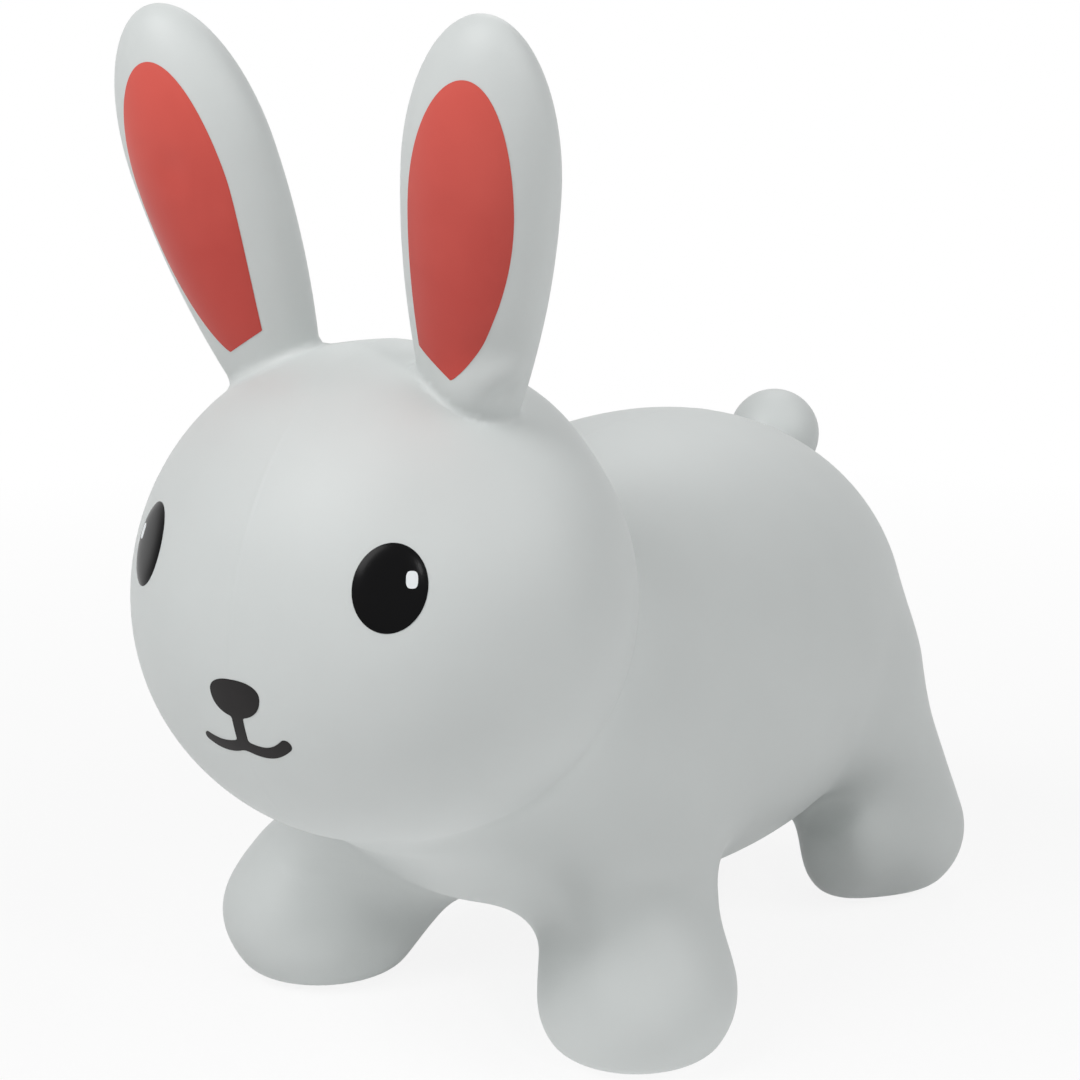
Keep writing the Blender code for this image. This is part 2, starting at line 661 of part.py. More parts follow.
def mouth_outline():
    """Stroke along the mouth's line with round ends."""
    out = np.linspace(-MOUTH_HALF_WIDTH, MOUTH_HALF_WIDTH, OUTLINE_POINTS)
    line = np.stack((out, mouth_height(np.abs(out))), axis=1)
    run = np.gradient(line, axis=0)
    run /= np.linalg.norm(run, axis=1)[:, None]
    across = np.stack((-run[:, 1], run[:, 0]), axis=1)
    turn = np.linspace(0, math.pi, OUTLINE_POINTS // 3)[1:-1, None]
    start_cap = line[0] + STROKE_HALF_WIDTH * (-across[0] * np.cos(turn) - run[0] * np.sin(turn))
    end_cap = line[-1] + STROKE_HALF_WIDTH * (across[-1] * np.cos(turn) + run[-1] * np.sin(turn))
    above = line + STROKE_HALF_WIDTH * across
    below = line - STROKE_HALF_WIDTH * across
    return np.concatenate((below, end_cap[::-1], above[::-1], start_cap[::-1]))


def build_nose_and_mouth():
    """Nose, stem and mouth, printed in one piece."""
    depth = HEAD_HALF_LENGTH
    face = placed(HEAD_CENTRE + np.array((0, -depth - GAP, 0)), (1, 0, 0), (0, 0, 1), (0, -1, 0))
    stem_top, stem_foot = -NOSE_DROP, MOUTH_MIDDLE_RISE - MOUTH_DROP
    stem = np.array(
        (
            (-STROKE_HALF_WIDTH, stem_foot),
            (STROKE_HALF_WIDTH, stem_foot),
            (STROKE_HALF_WIDTH, stem_top),
            (-STROKE_HALF_WIDTH, stem_top),
        )
    )
    piece = part("nose_mouth_print", prism_mesh("nose", nose_outline(), depth, face), INK_CHARCOAL)
    combine(piece, cutter("stem", prism_mesh("stem", stem, depth - GAP, face)), "UNION")
    combine(piece, cutter("mouth", prism_mesh("mouth", mouth_outline(), depth - 2 * GAP, face)), "UNION")
    combine(piece, form_cutter("head", GAP + INK_THICKNESS), "INTERSECT")
    combine(piece, form_cutter("head", GAP))


def inner_ear_outline():
    """Leaf: elliptic above its widest line, tapering to an off-centre tip and an inner corner below."""
    half = OUTLINE_POINTS // 2
    turn = np.linspace(0, math.pi, half)
    rise = INNER_EAR_TOP - INNER_EAR_WIDEST
    top = np.stack((INNER_EAR_HALF_WIDTH * np.cos(turn), INNER_EAR_WIDEST + rise * np.sin(turn)), axis=1)
    share = np.linspace(0, 1, half)[1:]
    drawn_in = (INNER_EAR_HALF_WIDTH - INNER_EAR_CORNER_HALF_WIDTH) * share**INNER_EAR_INNER_CURVE
    inner_width = INNER_EAR_HALF_WIDTH - drawn_in
    inner_along = INNER_EAR_WIDEST - (INNER_EAR_WIDEST - INNER_EAR_CORNER) * share
    inner = np.stack((-inner_width, inner_along), axis=1)
    fall = np.sin(share[::-1] * math.pi / 2)
    outer_width = INNER_EAR_HALF_WIDTH * (1 - fall**2) ** INNER_EAR_OUTER_CURVE
    outer_along = INNER_EAR_WIDEST - (INNER_EAR_WIDEST - INNER_EAR_TIP) * fall
    outer = np.stack((outer_width, outer_along), axis=1)
    return np.concatenate((top, inner, outer))


def build_inner_ears():
    """Leaf-shaped prints on the fronts of the ears, which move with them."""
    shifts = {"left": INNER_EAR_SHIFT_LEFT, "right": INNER_EAR_SHIFT_RIGHT}
    for word, side in SIDES.items():
        depth = EAR_HALF_WIDTH / 2
        origin = EAR_ROOT + EAR_OUTWARD * shifts[word] + EAR_FRONT * (depth + GAP)
        place = placed(origin, EAR_OUTWARD, EAR_AXIS, EAR_FRONT, side)
        leaf = prism_mesh("leaf", inner_ear_outline(), depth, place)
        print_part(f"{word}_inner_ear_print", "ear", leaf, INK_PINK, side, EAR_PIVOT * (side, 1, 1))


# Valve


def build_valve():
    """Rubber grommet that grips the belly skin in its groove, and the plug pushed up into it."""
    outer_top = -GAP
    outer_bottom = outer_top - VALVE_FLANGE_THICKNESS
    inner_bottom = outer_top + VALVE_GROOVE
    inner_top = inner_bottom + VALVE_FLANGE_THICKNESS
    top = inner_top + VALVE_NECK_LENGTH
    seat = [
        (VALVE_BORE_RADIUS, top),
        (VALVE_NECK_RADIUS, top),
        (VALVE_NECK_RADIUS, inner_top),
        (VALVE_FLANGE_RADIUS, inner_top),
        (VALVE_FLANGE_RADIUS, inner_bottom),
        (VALVE_NECK_RADIUS, inner_bottom),
        (VALVE_NECK_RADIUS, outer_top),
        (VALVE_FLANGE_RADIUS, outer_top),
        (VALVE_FLANGE_RADIUS, outer_bottom),
        (VALVE_BORE_RADIUS, outer_bottom),
    ]
    turned_part("valve_seat", seat, True, VALVE_RUBBER, BELLY)
    head_top = outer_bottom - GAP
    stem_radius = VALVE_BORE_RADIUS - GAP
    plug = [
        (0.0, head_top + PLUG_STEM_LENGTH),
        (stem_radius - PLUG_STEM_TAPER, head_top + PLUG_STEM_LENGTH),
        (stem_radius, head_top),
        (PLUG_HEAD_RADIUS, head_top),
        (PLUG_HEAD_RADIUS, head_top - PLUG_HEAD_THICKNESS),
        (0.0, head_top - PLUG_HEAD_THICKNESS),
    ]
    turned_part("valve_plug", plug, False, VALVE_RUBBER, BELLY)


build_torso()
build_head()
build_legs()
build_ears()
build_tail()
build_eyes()
build_nose_and_mouth()
build_inner_ears()
build_valve()

for word, place in (("ear pivot", EAR_PIVOT), ("ear hinge axis", EAR_HINGE_AXIS), ("belly", BELLY)):
    print(word, np.round(place, 4).tolist())
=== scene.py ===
"""Looks of the animal hopper: a blown-up rabbit of soft grey PVC with a printed face and printed inner ears.

Metres, +Z up. The floor is z = 0, the rabbit faces -Y and its left side is +X.
The skin is one field, the smooth union of swollen forms. A net of quads is laid on its surface, cut along
the creases into the pieces that the solids have, and each piece gets the wall's thickness.
Prints are thin films laid on that same field.
"""

import math
from itertools import product

import bpy
import numpy as np
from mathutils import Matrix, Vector


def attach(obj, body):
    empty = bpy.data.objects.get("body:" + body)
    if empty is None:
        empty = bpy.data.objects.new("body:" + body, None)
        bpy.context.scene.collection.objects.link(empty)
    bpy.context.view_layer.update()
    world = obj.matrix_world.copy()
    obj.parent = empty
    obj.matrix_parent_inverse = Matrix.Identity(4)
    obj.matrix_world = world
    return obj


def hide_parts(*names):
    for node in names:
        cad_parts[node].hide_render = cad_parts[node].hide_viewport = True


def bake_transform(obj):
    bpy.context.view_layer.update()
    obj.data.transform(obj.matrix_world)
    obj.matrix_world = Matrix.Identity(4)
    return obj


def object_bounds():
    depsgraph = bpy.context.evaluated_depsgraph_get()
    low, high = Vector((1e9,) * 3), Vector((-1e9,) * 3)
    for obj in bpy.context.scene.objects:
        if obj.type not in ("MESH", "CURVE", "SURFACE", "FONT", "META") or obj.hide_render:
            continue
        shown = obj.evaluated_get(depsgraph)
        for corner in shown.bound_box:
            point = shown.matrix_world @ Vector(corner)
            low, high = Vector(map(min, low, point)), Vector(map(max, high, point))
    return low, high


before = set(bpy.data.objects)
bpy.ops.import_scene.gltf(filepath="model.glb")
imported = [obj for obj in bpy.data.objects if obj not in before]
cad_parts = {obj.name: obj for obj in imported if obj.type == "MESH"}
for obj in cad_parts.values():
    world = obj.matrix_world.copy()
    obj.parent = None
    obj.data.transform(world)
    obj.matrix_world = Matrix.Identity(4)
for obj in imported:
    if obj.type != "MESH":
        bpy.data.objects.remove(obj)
CAD_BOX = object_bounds()

# Skin
WALL = 0.0020
NET_STEP = 0.0028
NET_BLOCK = 5
NET_NEAR = 1.5
NET_LOW_MARGIN = 2.5
NET_HIGH_MARGIN = 2.0
RELAX_ROUNDS = 8
CUT_ROUNDS = 4
CUT_RELAX_ROUNDS = 3
SLOPE_STEP = 0.0002
TINY = 1e-9

# Torso: an egg along Y, fuller at the rump
TORSO_CENTRE = np.array((0.0, 0.0322, 0.1545))
TORSO_HALF = np.array((0.1207, 0.2100, 0.1179))
TORSO_TAPER = 0.16
TORSO_TAPER_REACH = 1.3
TORSO_FULLNESS = 2.28

# Head: an ellipsoid with a soft muzzle
HEAD_CENTRE = np.array((0.0, -0.1370, 0.2278))
HEAD_HALF = np.array((0.1224, 0.0992, 0.1134))
MUZZLE_SWELL = 0.0119
MUZZLE_DROP_ANGLE = math.radians(24.0)
MUZZLE_SPREAD_ANGLE = 0.66

# Rays that look for the skin: from a form's centre, and for a print from inside the head
RAY_REACH = 3 * HEAD_HALF[0]
PRINT_REACH = HEAD_HALF[0]
PRINT_START_DEPTH = HEAD_HALF[1] / 2

# Legs of the left side: a limb from hip to ankle and a fuller foot that reaches below the floor's level
LEGS = {
    "front": {
        "hip": np.array((0.0544, -0.0265, 0.0993)),
        "ankle": np.array((0.0907, -0.0624, 0.0311)),
        "radii": (0.0479, 0.0419),
        "foot": np.array((0.0999, -0.0754, 0.0311)),
        "foot_half": np.array((0.0439, 0.0450, 0.0380)),
    },
    "rear": {
        "hip": np.array((0.0734, 0.1646, 0.1229)),
        "ankle": np.array((0.0892, 0.2042, 0.0351)),
        "radii": (0.0418, 0.0376),
        "foot": np.array((0.0770, 0.1928, 0.0351)),
        "foot_half": np.array((0.0307, 0.0496, 0.0420)),
    },
}

# Left ear: flattened sections that widen to the widest point, then an elliptic tip
EAR_ROOT_SIDE_ANGLE = math.radians(29.3)
EAR_ROOT_FORWARD_ANGLE = math.radians(4.6)
EAR_SPLAY_ANGLE = math.radians(12.2)
EAR_LEAN_ANGLE = math.radians(12.8)
EAR_LENGTH = 0.1701
EAR_ROOT_HALF_WIDTH = 0.0257
EAR_HALF_WIDTH = 0.0382
EAR_WIDEST = 0.0974
EAR_FLATNESS = 0.65
EAR_BURIED = 0.0300

# Tail: a ball sunk in the rump by half its radius
TAIL_RADIUS = 0.0249
TAIL_RISE_ANGLE = math.radians(25.7)
TAIL_PROUD = 0.0116

# How far each pair of forms melts together
FOOT_MELT = 0.0200
LEG_MELT = 0.0277
TAIL_MELT = 0.0030
SOLE_MELT = 0.0090
EAR_MELTS = {"left": 0.0034, "right": 0.0060}
NECK_MELT = 0.0100

# Soft swellings and hollows of the blown-up skin: place, run, half length, half width, height
LEFT_EAR_FORMS = {
    "lip over the root": ((0.0670, -0.1630, 0.3270), (0.98, 0.10, -0.10), 0.0110, 0.0085, 0.0048),
    "ridge over the lip": ((0.0790, -0.1630, 0.3370), (0.88, 0.31, 0.36), 0.0090, 0.0040, 0.0014),
    "hollow over the ridge": ((0.0876, -0.1652, 0.3497), (0.78, 0.62, 0.10), 0.0100, 0.0060, -0.0018),
    "dimple under the ridge": ((0.0815, -0.1569, 0.3293), (0.74, 0.54, 0.40), 0.0060, 0.0035, -0.0018),
}
LOCAL_FORMS = {
    "right ear, dent": ((-0.0732, -0.1920, 0.4188), (0.00, 0.00, 1.00), 0.0060, 0.0050, -0.0010),
    "crown beside the left ear": ((0.0080, -0.1330, 0.3415), (1.00, 0.00, 0.00), 0.0120, 0.0120, 0.0018),
    "chest, lower front": ((0.0000, -0.1330, 0.0850), (1.00, 0.00, 0.00), 0.0450, 0.0230, -0.0120),
    "head behind the left ear": ((0.0640, -0.1000, 0.3160), (0.60, 0.60, -0.50), 0.0200, 0.0160, 0.0014),
}
PAIRED_FORMS = {
    "temples": ((0.0800, -0.2000, 0.2780), (0.00, 0.40, 0.92), 0.0360, 0.0300, -0.0009),
    "cheeks": ((0.0720, -0.2180, 0.1900), (0.00, -0.30, 0.95), 0.0380, 0.0320, 0.0009),
    "front feet, outer edge": ((0.1280, -0.1000, 0.0160), (0.58, 0.80, 0.00), 0.0220, 0.0130, -0.0014),
    "front feet, inner edge": ((0.0700, -0.0980, 0.0150), (0.60, -0.80, 0.00), 0.0200, 0.0120, 0.0012),
    "front feet, inner side": ((0.0690, -0.1080, 0.0460), (0.00, 0.00, 1.00), 0.0120, 0.0100, -0.0012),
    "front legs, over the foot": ((0.1040, -0.0900, 0.0770), (0.75, 0.65, 0.00), 0.0240, 0.0160, 0.0075),
    "rear legs, flank fold": ((0.0800, 0.1420, 0.0570), (0.89, 0.20, 0.41), 0.0160, 0.0060, -0.0060),
    "rear feet, outer side": ((0.1150, 0.1660, 0.0330), (0.54, 0.83, 0.00), 0.0180, 0.0140, 0.0058),
    "rear legs, over the foot": ((0.1120, 0.1600, 0.0680), (0.54, 0.83, 0.00), 0.0200, 0.0130, -0.0034),
    "rear feet, front corner": ((0.0960, 0.1480, 0.0370), (0.00, 0.00, 1.00), 0.0200, 0.0110, 0.0070),
    "rear feet, inner edge": ((0.0720, 0.1490, 0.0150), (1.00, 0.00, 0.00), 0.0120, 0.0100, 0.0016),
}

# Where the legs melt into the torso over a longer or a shorter reach than elsewhere, in the same terms
MELT_FORMS = {
    "front legs, chest side": ((0.0820, -0.1050, 0.0900), (0.00, 0.00, 1.00), 0.0220, 0.0220, 0.0260),
    "rear legs, under the flank": ((0.0800, 0.1420, 0.0570), (0.89, 0.20, 0.41), 0.0220, 0.0160, -0.0190),
}

# Prints: film above and below the skin's surface
INK_PROUD = 0.00018
INK_SUNK = 0.00025
INK_STEP = 0.0005

EYE_SIDE_ANGLES = {"left": math.radians(38.9), "right": math.radians(39.9)}
EYE_RISE_ANGLES = {"left": math.radians(13.9), "right": math.radians(14.4)}
EYE_HALF = (0.0160, 0.0193)
EYE_TILT_ANGLE = math.radians(11.7)
EYE_DOME = 0.0011
EYE_DOME_FULLNESS = 6
GLINT_OUT = 0.0093
GLINT_UP = 0.0036
GLINT_HALF = (0.0025, 0.0037)
GLINT_FULLNESS = 3.0
GLINT_TURNING_ROOM = 1.3

FACE_SHIFT = 0.0012
NOSE_HEIGHT = 0.2009
NOSE_HALF = (0.0134, 0.0088)
NOSE_TOP_WIDENING = 0.16
NOSE_FULLNESS = 2.3
MOUTH_HEIGHT = 0.1768
MOUTH_HALF_WIDTH = 0.0225
MOUTH_RIGHT_END = 0.0213
MOUTH_DIP_OUT = 0.0110
MOUTH_RIGHT_RISE = 0.0030
MOUTH_LEFT_RISE = 0.0050
MOUTH_MIDDLE_RISE = 0.0025
STROKE_HALF_WIDTH = 0.0026
STROKE_RIGHT_END = 0.0019
STROKE_LEFT_END = 0.0028
STEM_HALF_WIDTH = 0.0031
STROKE_END_FULLNESS = 3
STROKE_MELT = 0.0012
MOUTH_POINTS = 121
STEM_POINTS = 60
FACE_LOW_MARGINS = (0.004, 0.004)
FACE_HIGH_MARGINS = (0.005, 0.002)

# Inner ear print, measured along the ear from its root
LEAF_HALF_WIDTH = 0.0262
LEAF_WIDEST = 0.0880
LEAF_TOP = 0.1480
LEAF_TIP = 0.0125
LEAF_TIP_OUT = 0.0019
LEAF_CORNER = 0.0205
LEAF_CORNER_HALF_WIDTH = 0.0189
LEAF_INNER_CURVE = 1.5
LEAF_OUTER_CURVE = 0.8
LEAF_STEP = 0.0009
LEAF_TOP_POINTS = 60
LEAF_SIDE_POINTS = 40
LEAF_SHIFTS = {"left": 0.0035, "right": 0.0005}
LEAF_TURN_ANGLES = {"left": math.radians(1.1), "right": math.radians(-2.6)}

# Mould line in the middle plane: arcs by centre and two angles, counted from straight back over the top
SEAM_HALF_WIDTH = 0.0026
SEAM_HEIGHT = 0.00015
SEAM_RIM_DIP = 0.00004
SEAM_SUNK = 0.0006
SEAM_STEP_ANGLE = math.radians(0.8)
SEAM_COLUMNS = 11
SEAM_END_FULLNESS = 12
SEAM_ARCS = {
    "head": (HEAD_CENTRE, math.radians(62.0), math.radians(238.0)),
    "back": (TORSO_CENTRE, math.radians(34.0), math.radians(98.0)),
    "rump": (TORSO_CENTRE, math.radians(-42.0), math.radians(13.0)),
}

# Air valve in the belly
VALVE_Y = 0.0740
VALVE_HOLE_RADIUS = 0.0100

# Camera of the photograph
CAMERA_PLACE = Vector((0.7763, -1.1338, 0.5442))
CAMERA_AZIMUTH = math.radians(34.69)
CAMERA_ELEVATION = math.radians(13.12)
CAMERA_LENS = 94.5
CAMERA_SENSOR = 36.0
CAMERA_CLIP_END = 100.0

SIDES = {"left": 1, "right": -1}
MIRROR = np.array((-1.0, 1.0, 1.0))


def unit(vectors):
    """Vectors scaled to length one."""
    vectors = np.asarray(vectors, dtype=float)
    return vectors / np.maximum(np.linalg.norm(vectors, axis=-1, keepdims=True), TINY)


# Directions of the left ear

EAR_AXIS = np.array(
    (
        math.sin(EAR_SPLAY_ANGLE),
        -math.sin(EAR_LEAN_ANGLE) * math.cos(EAR_SPLAY_ANGLE),
        math.cos(EAR_LEAN_ANGLE) * math.cos(EAR_SPLAY_ANGLE),
    )
)
EAR_OUTWARD = unit(np.cross(EAR_AXIS, (0.0, -1.0, 0.0)))
EAR_FRONT = np.cross(EAR_OUTWARD, EAR_AXIS)
EAR_FRAME = np.array((EAR_OUTWARD, EAR_FRONT, EAR_AXIS))


# Fields of the forms: negative inside, metres near the surface


def smooth_union(first, second, reach):
    """Union of two fields, filleted where both lie within reach of each other."""
    share = np.clip(0.5 + 0.5 * (second - first) / reach, 0, 1)
    return second + (first - second) * share - reach * share * (1 - share)


def ellipsoid_field(away, radii):
    """Near distance to an ellipse or ellipsoid, for points given from its centre."""
    away = np.abs(away) + TINY
    size = np.linalg.norm(away / radii, axis=-1)
    return size * (size - 1) / np.linalg.norm(away / np.square(radii), axis=-1)


def torso_field(points):
    """Egg: a full ellipse along Y, with cross sections that grow towards the rump."""
    away = points - TORSO_CENTRE
    along = away[..., 1] / TORSO_HALF[1]
    swell = 1 + TORSO_TAPER * np.clip(along, -TORSO_TAPER_REACH, TORSO_TAPER_REACH)
    side = away[..., 0] / TORSO_HALF[0] / swell
    rise = away[..., 2] / TORSO_HALF[2] / swell
    across = np.maximum(np.hypot(side, rise), TINY)
    size = (across**TORSO_FULLNESS + np.abs(along) ** TORSO_FULLNESS) ** (1 / TORSO_FULLNESS)
    across_slope = (across / size) ** (TORSO_FULLNESS - 1)
    slope = np.sqrt(
        (across_slope * side / across / TORSO_HALF[0]) ** 2
        + (across_slope * rise / across / TORSO_HALF[2]) ** 2
        + ((np.abs(along) / size) ** (TORSO_FULLNESS - 1) / TORSO_HALF[1]) ** 2
    )
    return (size - 1) / slope


def head_field(points):
    """Ellipsoid that swells by a bell-shaped amount around the muzzle's direction."""
    away = points - HEAD_CENTRE
    muzzle = np.array((0.0, -math.cos(MUZZLE_DROP_ANGLE), -math.sin(MUZZLE_DROP_ANGLE)))
    facing = away @ muzzle / np.maximum(np.linalg.norm(away, axis=-1), TINY)
    off_axis = np.arccos(np.clip(facing, -1, 1))
    swell = MUZZLE_SWELL * np.exp(-0.5 * (off_axis / MUZZLE_SPREAD_ANGLE) ** 2)
    return ellipsoid_field(away, HEAD_HALF) - swell


def leg_field(points, leg):
    """Round-ended limb whose radius runs evenly from hip to ankle, melted into an ellipsoid foot."""
    run = leg["ankle"] - leg["hip"]
    share = np.clip((points - leg["hip"]) @ run / (run @ run), 0, 1)
    nearest = leg["hip"] + share[..., None] * run
    radius = leg["radii"][0] + share * (leg["radii"][1] - leg["radii"][0])
    limb = np.linalg.norm(points - nearest, axis=-1) - radius
    return smooth_union(limb, ellipsoid_field(points - leg["foot"], leg["foot_half"]), FOOT_MELT)


def ear_field(points):
    """Left ear: elliptic sections that widen to the widest point, then half an ellipsoid."""
    away = (points - EAR_ROOT) @ EAR_FRAME.T
    along = away[..., 2]
    taper = np.clip((EAR_WIDEST - along) / EAR_WIDEST, 0, None) ** 2
    half_width = np.maximum(EAR_HALF_WIDTH - (EAR_HALF_WIDTH - EAR_ROOT_HALF_WIDTH) * taper, WALL)
    shaft = ellipsoid_field(away[..., :2], np.stack((half_width, half_width * EAR_FLATNESS), axis=-1))
    tip_radii = np.array((EAR_HALF_WIDTH, EAR_HALF_WIDTH * EAR_FLATNESS, EAR_LENGTH - EAR_WIDEST))
    tip = ellipsoid_field(away - (0.0, 0.0, EAR_WIDEST), tip_radii)
    return np.maximum(np.where(along < EAR_WIDEST, shaft, tip), -EAR_BURIED - along)


def local_height(points, forms):
    """Height of the swellings and hollows: bells, longer along their run than across it."""
    height = np.zeros(points.shape[:-1])
    for place, run, half_length, half_width, rise in forms.values():
        away = points - place
        along = away @ unit(run)
        across = np.sum(away**2, axis=-1) - along**2
        height += rise * np.exp(-0.5 * ((along / half_length) ** 2 + across / half_width**2))
    return height


def form_fields(points):
    """Field of each form by the name of its piece."""
    forms = {"body": torso_field(points), "head": head_field(points)}
    for side, sign in SIDES.items():
        turned = points if sign > 0 else points * MIRROR
        forms[f"{side}_ear"] = ear_field(turned)
        for place, leg in LEGS.items():
            forms[f"{place}_{side}_leg"] = leg_field(turned, leg)
    forms["left_ear"] = forms["left_ear"] - local_height(points, LEFT_EAR_FORMS)
    forms["tail"] = np.linalg.norm(points - TAIL_CENTRE, axis=-1) - TAIL_RADIUS
    return forms


def skin_field(points):
    """Whole skin: the forms melted together, with the feet flattened on the floor."""
    forms = form_fields(points)
    body = forms["body"]
    folded = np.stack((np.abs(points[..., 0]), points[..., 1], points[..., 2]), axis=-1)
    leg_melt = LEG_MELT + local_height(folded, MELT_FORMS)
    for name, value in forms.items():
        if name.endswith("leg"):
            body = smooth_union(body, value, leg_melt)
    body = smooth_union(body, forms["tail"], TAIL_MELT)
    head = forms["head"]
    for side in SIDES:
        head = smooth_union(head, forms[f"{side}_ear"], EAR_MELTS[side])
    raised = local_height(points, LOCAL_FORMS) + local_height(folded, PAIRED_FORMS)
    skin = smooth_union(body, head, NECK_MELT) - raised
    return -smooth_union(-skin, points[..., 2], SOLE_MELT)


def slope_of(field, points, value=None):
    """Slope of a field by differences: forward ones where its value is given, or else central ones."""
    steps = np.eye(points.shape[-1]) * SLOPE_STEP
    if value is not None:
        return np.stack([field(points + step) - value for step in steps], axis=-1) / SLOPE_STEP
    rise = [field(points + step) - field(points - step) for step in steps]
    return np.stack(rise, axis=-1) / (2 * SLOPE_STEP)


def drawn_onto(field, points, rounds=3):
    """Points moved along a field's slope until the field is zero there."""
    for _ in range(rounds):
        value = field(points)
        slope = slope_of(field, points, value)
        points = points - slope * (value / np.sum(slope**2, axis=-1))[..., None]
    return points


def reach_along(field, starts, rays, reach, rounds=36):
    """Distance along each ray from its start at which the field rises to zero, found by halving."""
    near = np.zeros(len(starts))
    far = np.full(len(starts), reach)
    for _ in range(rounds):
        middle = (near + far) / 2
        inside = field(starts + rays * middle[:, None]) < 0
        near = np.where(inside, middle, near)
        far = np.where(inside, far, middle)
    return far


def surface_point(field, start, ray):
    """Point where one ray from start leaves a form."""
    return start + ray * reach_along(field, start[None], ray[None], RAY_REACH)


# Places that follow from the forms

EAR_ROOT_RAY = np.array(
    (
        math.sin(EAR_ROOT_SIDE_ANGLE) * math.cos(EAR_ROOT_FORWARD_ANGLE),
        -math.sin(EAR_ROOT_FORWARD_ANGLE),
        math.cos(EAR_ROOT_SIDE_ANGLE) * math.cos(EAR_ROOT_FORWARD_ANGLE),
    )
)
EAR_ROOT = surface_point(head_field, HEAD_CENTRE, EAR_ROOT_RAY)
TAIL_RAY = np.array((0.0, math.cos(TAIL_RISE_ANGLE), math.sin(TAIL_RISE_ANGLE)))
TAIL_CENTRE = surface_point(torso_field, TORSO_CENTRE, TAIL_RAY) + TAIL_RAY * TAIL_PROUD


# Nets of quads


def grid_inside(field, low, high, step):
    """Which points of a grid lie inside: whole blocks by their middle, and single points near the surface."""
    block = step * NET_BLOCK
    axes = [np.arange(a, b + block, block) for a, b in zip(low, high)]
    middle = field(np.stack(np.meshgrid(*axes, indexing="ij"), axis=-1) + (block - step) / 2)
    inside, near = middle < 0, np.abs(middle) < NET_NEAR * block
    for axis in range(3):
        inside, near = inside.repeat(NET_BLOCK, axis), near.repeat(NET_BLOCK, axis)
    inside[near] = field(low + np.argwhere(near) * step) < 0
    return inside


def surface_net(field, low, high, step):
    """Quads around every grid edge that the field's surface crosses, with a point in each crossed cell."""
    inside = grid_inside(field, low, high, step)
    size = np.array(inside.shape) - 1
    shifts = product((0, 1), repeat=3)
    corners = [inside[tuple(slice(s, s + n) for s, n in zip(shift, size))] for shift in shifts]
    filled = np.sum(corners, axis=0)
    crossed = (filled > 0) & (filled < len(corners))
    number = np.cumsum(crossed.ravel()).reshape(crossed.shape) - 1
    points = low + (np.argwhere(crossed) + 0.5) * step
    quads = []
    for axis in range(3):
        turned = np.moveaxis(inside, axis, 0)[:, 1:-1, 1:-1]
        cells = np.moveaxis(number, axis, 0)
        start, end = turned[:-1], turned[1:]
        ring = (cells[:, :-1, :-1], cells[:, 1:, :-1], cells[:, 1:, 1:], cells[:, :-1, 1:])
        found = np.stack(ring, axis=-1)[start != end]
        forward = (axis != 1) == (start & ~end)[start != end]
        quads.append(np.where(forward[:, None], found, found[:, ::-1]))
    return points, np.concatenate(quads)


def edges_of(quads):
    """Every directed edge of the quads, as pairs of point numbers."""
    return np.stack((quads, np.roll(quads, -1, axis=1)), axis=-1).reshape(-1, 2)


def relaxed(points, quads, field, rounds, held=None):
    """Net evened out: each free point goes halfway to its neighbours' mean and back onto the surface."""
    start, end = edges_of(quads).T
    count = np.bincount(start, minlength=len(points))
    for _ in range(rounds):
        total = [np.bincount(start, points[end, axis], len(points)) for axis in range(3)]
        mean = np.stack(total, axis=1) / count[:, None]
        moved = drawn_onto(field, (points + mean) / 2, rounds=1)
        points = moved if held is None else np.where(held[:, None], points, moved)
    return points


def closed_film(outer, inner, quads):
    """Two layers with the same quads, the inner one turned over, joined by a rim along their open edges."""
    count = len(outer)
    edges = edges_of(quads)
    forward = edges[:, 0].astype(np.int64) * count + edges[:, 1]
    backward = edges[:, 1].astype(np.int64) * count + edges[:, 0]
    start, end = edges[~np.isin(forward, backward)].T
    rim = np.stack((end, start, start + count, end + count), axis=1)
    return np.concatenate((outer, inner)), np.concatenate((quads, quads[:, ::-1] + count, rim))


def only_used(quads):
    """Numbers of the points that the quads use, and the quads numbered by their place among these."""
    used, numbers = np.unique(quads, return_inverse=True)
    return used, numbers.reshape(quads.shape)


def add_piece(name, points, quads, material, normals=None):
    """Mesh object from points and quads, smooth shaded, with the surface's own normals where given."""
    mesh = bpy.data.meshes.new(name)
    mesh.vertices.add(len(points))
    mesh.loops.add(quads.size)
    mesh.polygons.add(len(quads))
    mesh.vertices.foreach_set("co", points.astype(np.float32).ravel())
    mesh.loops.foreach_set("vertex_index", quads.astype(np.int32).ravel())
    mesh.polygons.foreach_set("loop_start", np.arange(0, quads.size, quads.shape[1], dtype=np.int32))
    mesh.update(calc_edges=True)
    mesh.validate()
    mesh.shade_smooth()
    if normals is not None:
        mesh.normals_split_custom_set_from_vertices(normals.astype(np.float32))
    mesh.materials.append(material)
    piece = bpy.data.objects.new(name, mesh)
    bpy.context.scene.collection.objects.link(piece)
    return piece


# Materials


def linear(hex_colour):
    """Linear colour with alpha from an sRGB hex colour."""
    seen = [int(hex_colour[i : i + 2], 16) / 255 for i in (0, 2, 4)]
    return [c / 12.92 if c <= 0.04045 else ((c + 0.055) / 1.055) ** 2.4 for c in seen] + [1.0]


def add_node(tree, kind, links=None, **settings):
    """Node of a kind; settings are its attributes or its sockets' values, links feed its sockets."""
    made = tree.nodes.new(kind)
    for key, value in settings.items():
        if hasattr(made, key):
            setattr(made, key, value)
        else:
            made.inputs[key.replace("_", " ")].default_value = value
    for key, source in (links or {}).items():
        tree.links.new(source, made.inputs[key])
    return made


def new_material(name):
    """Empty Principled material: its node tree and its shader."""
    material = bpy.data.materials.new(name)
    material.use_nodes = True
    return material, material.node_tree, material.node_tree.nodes["Principled BSDF"]


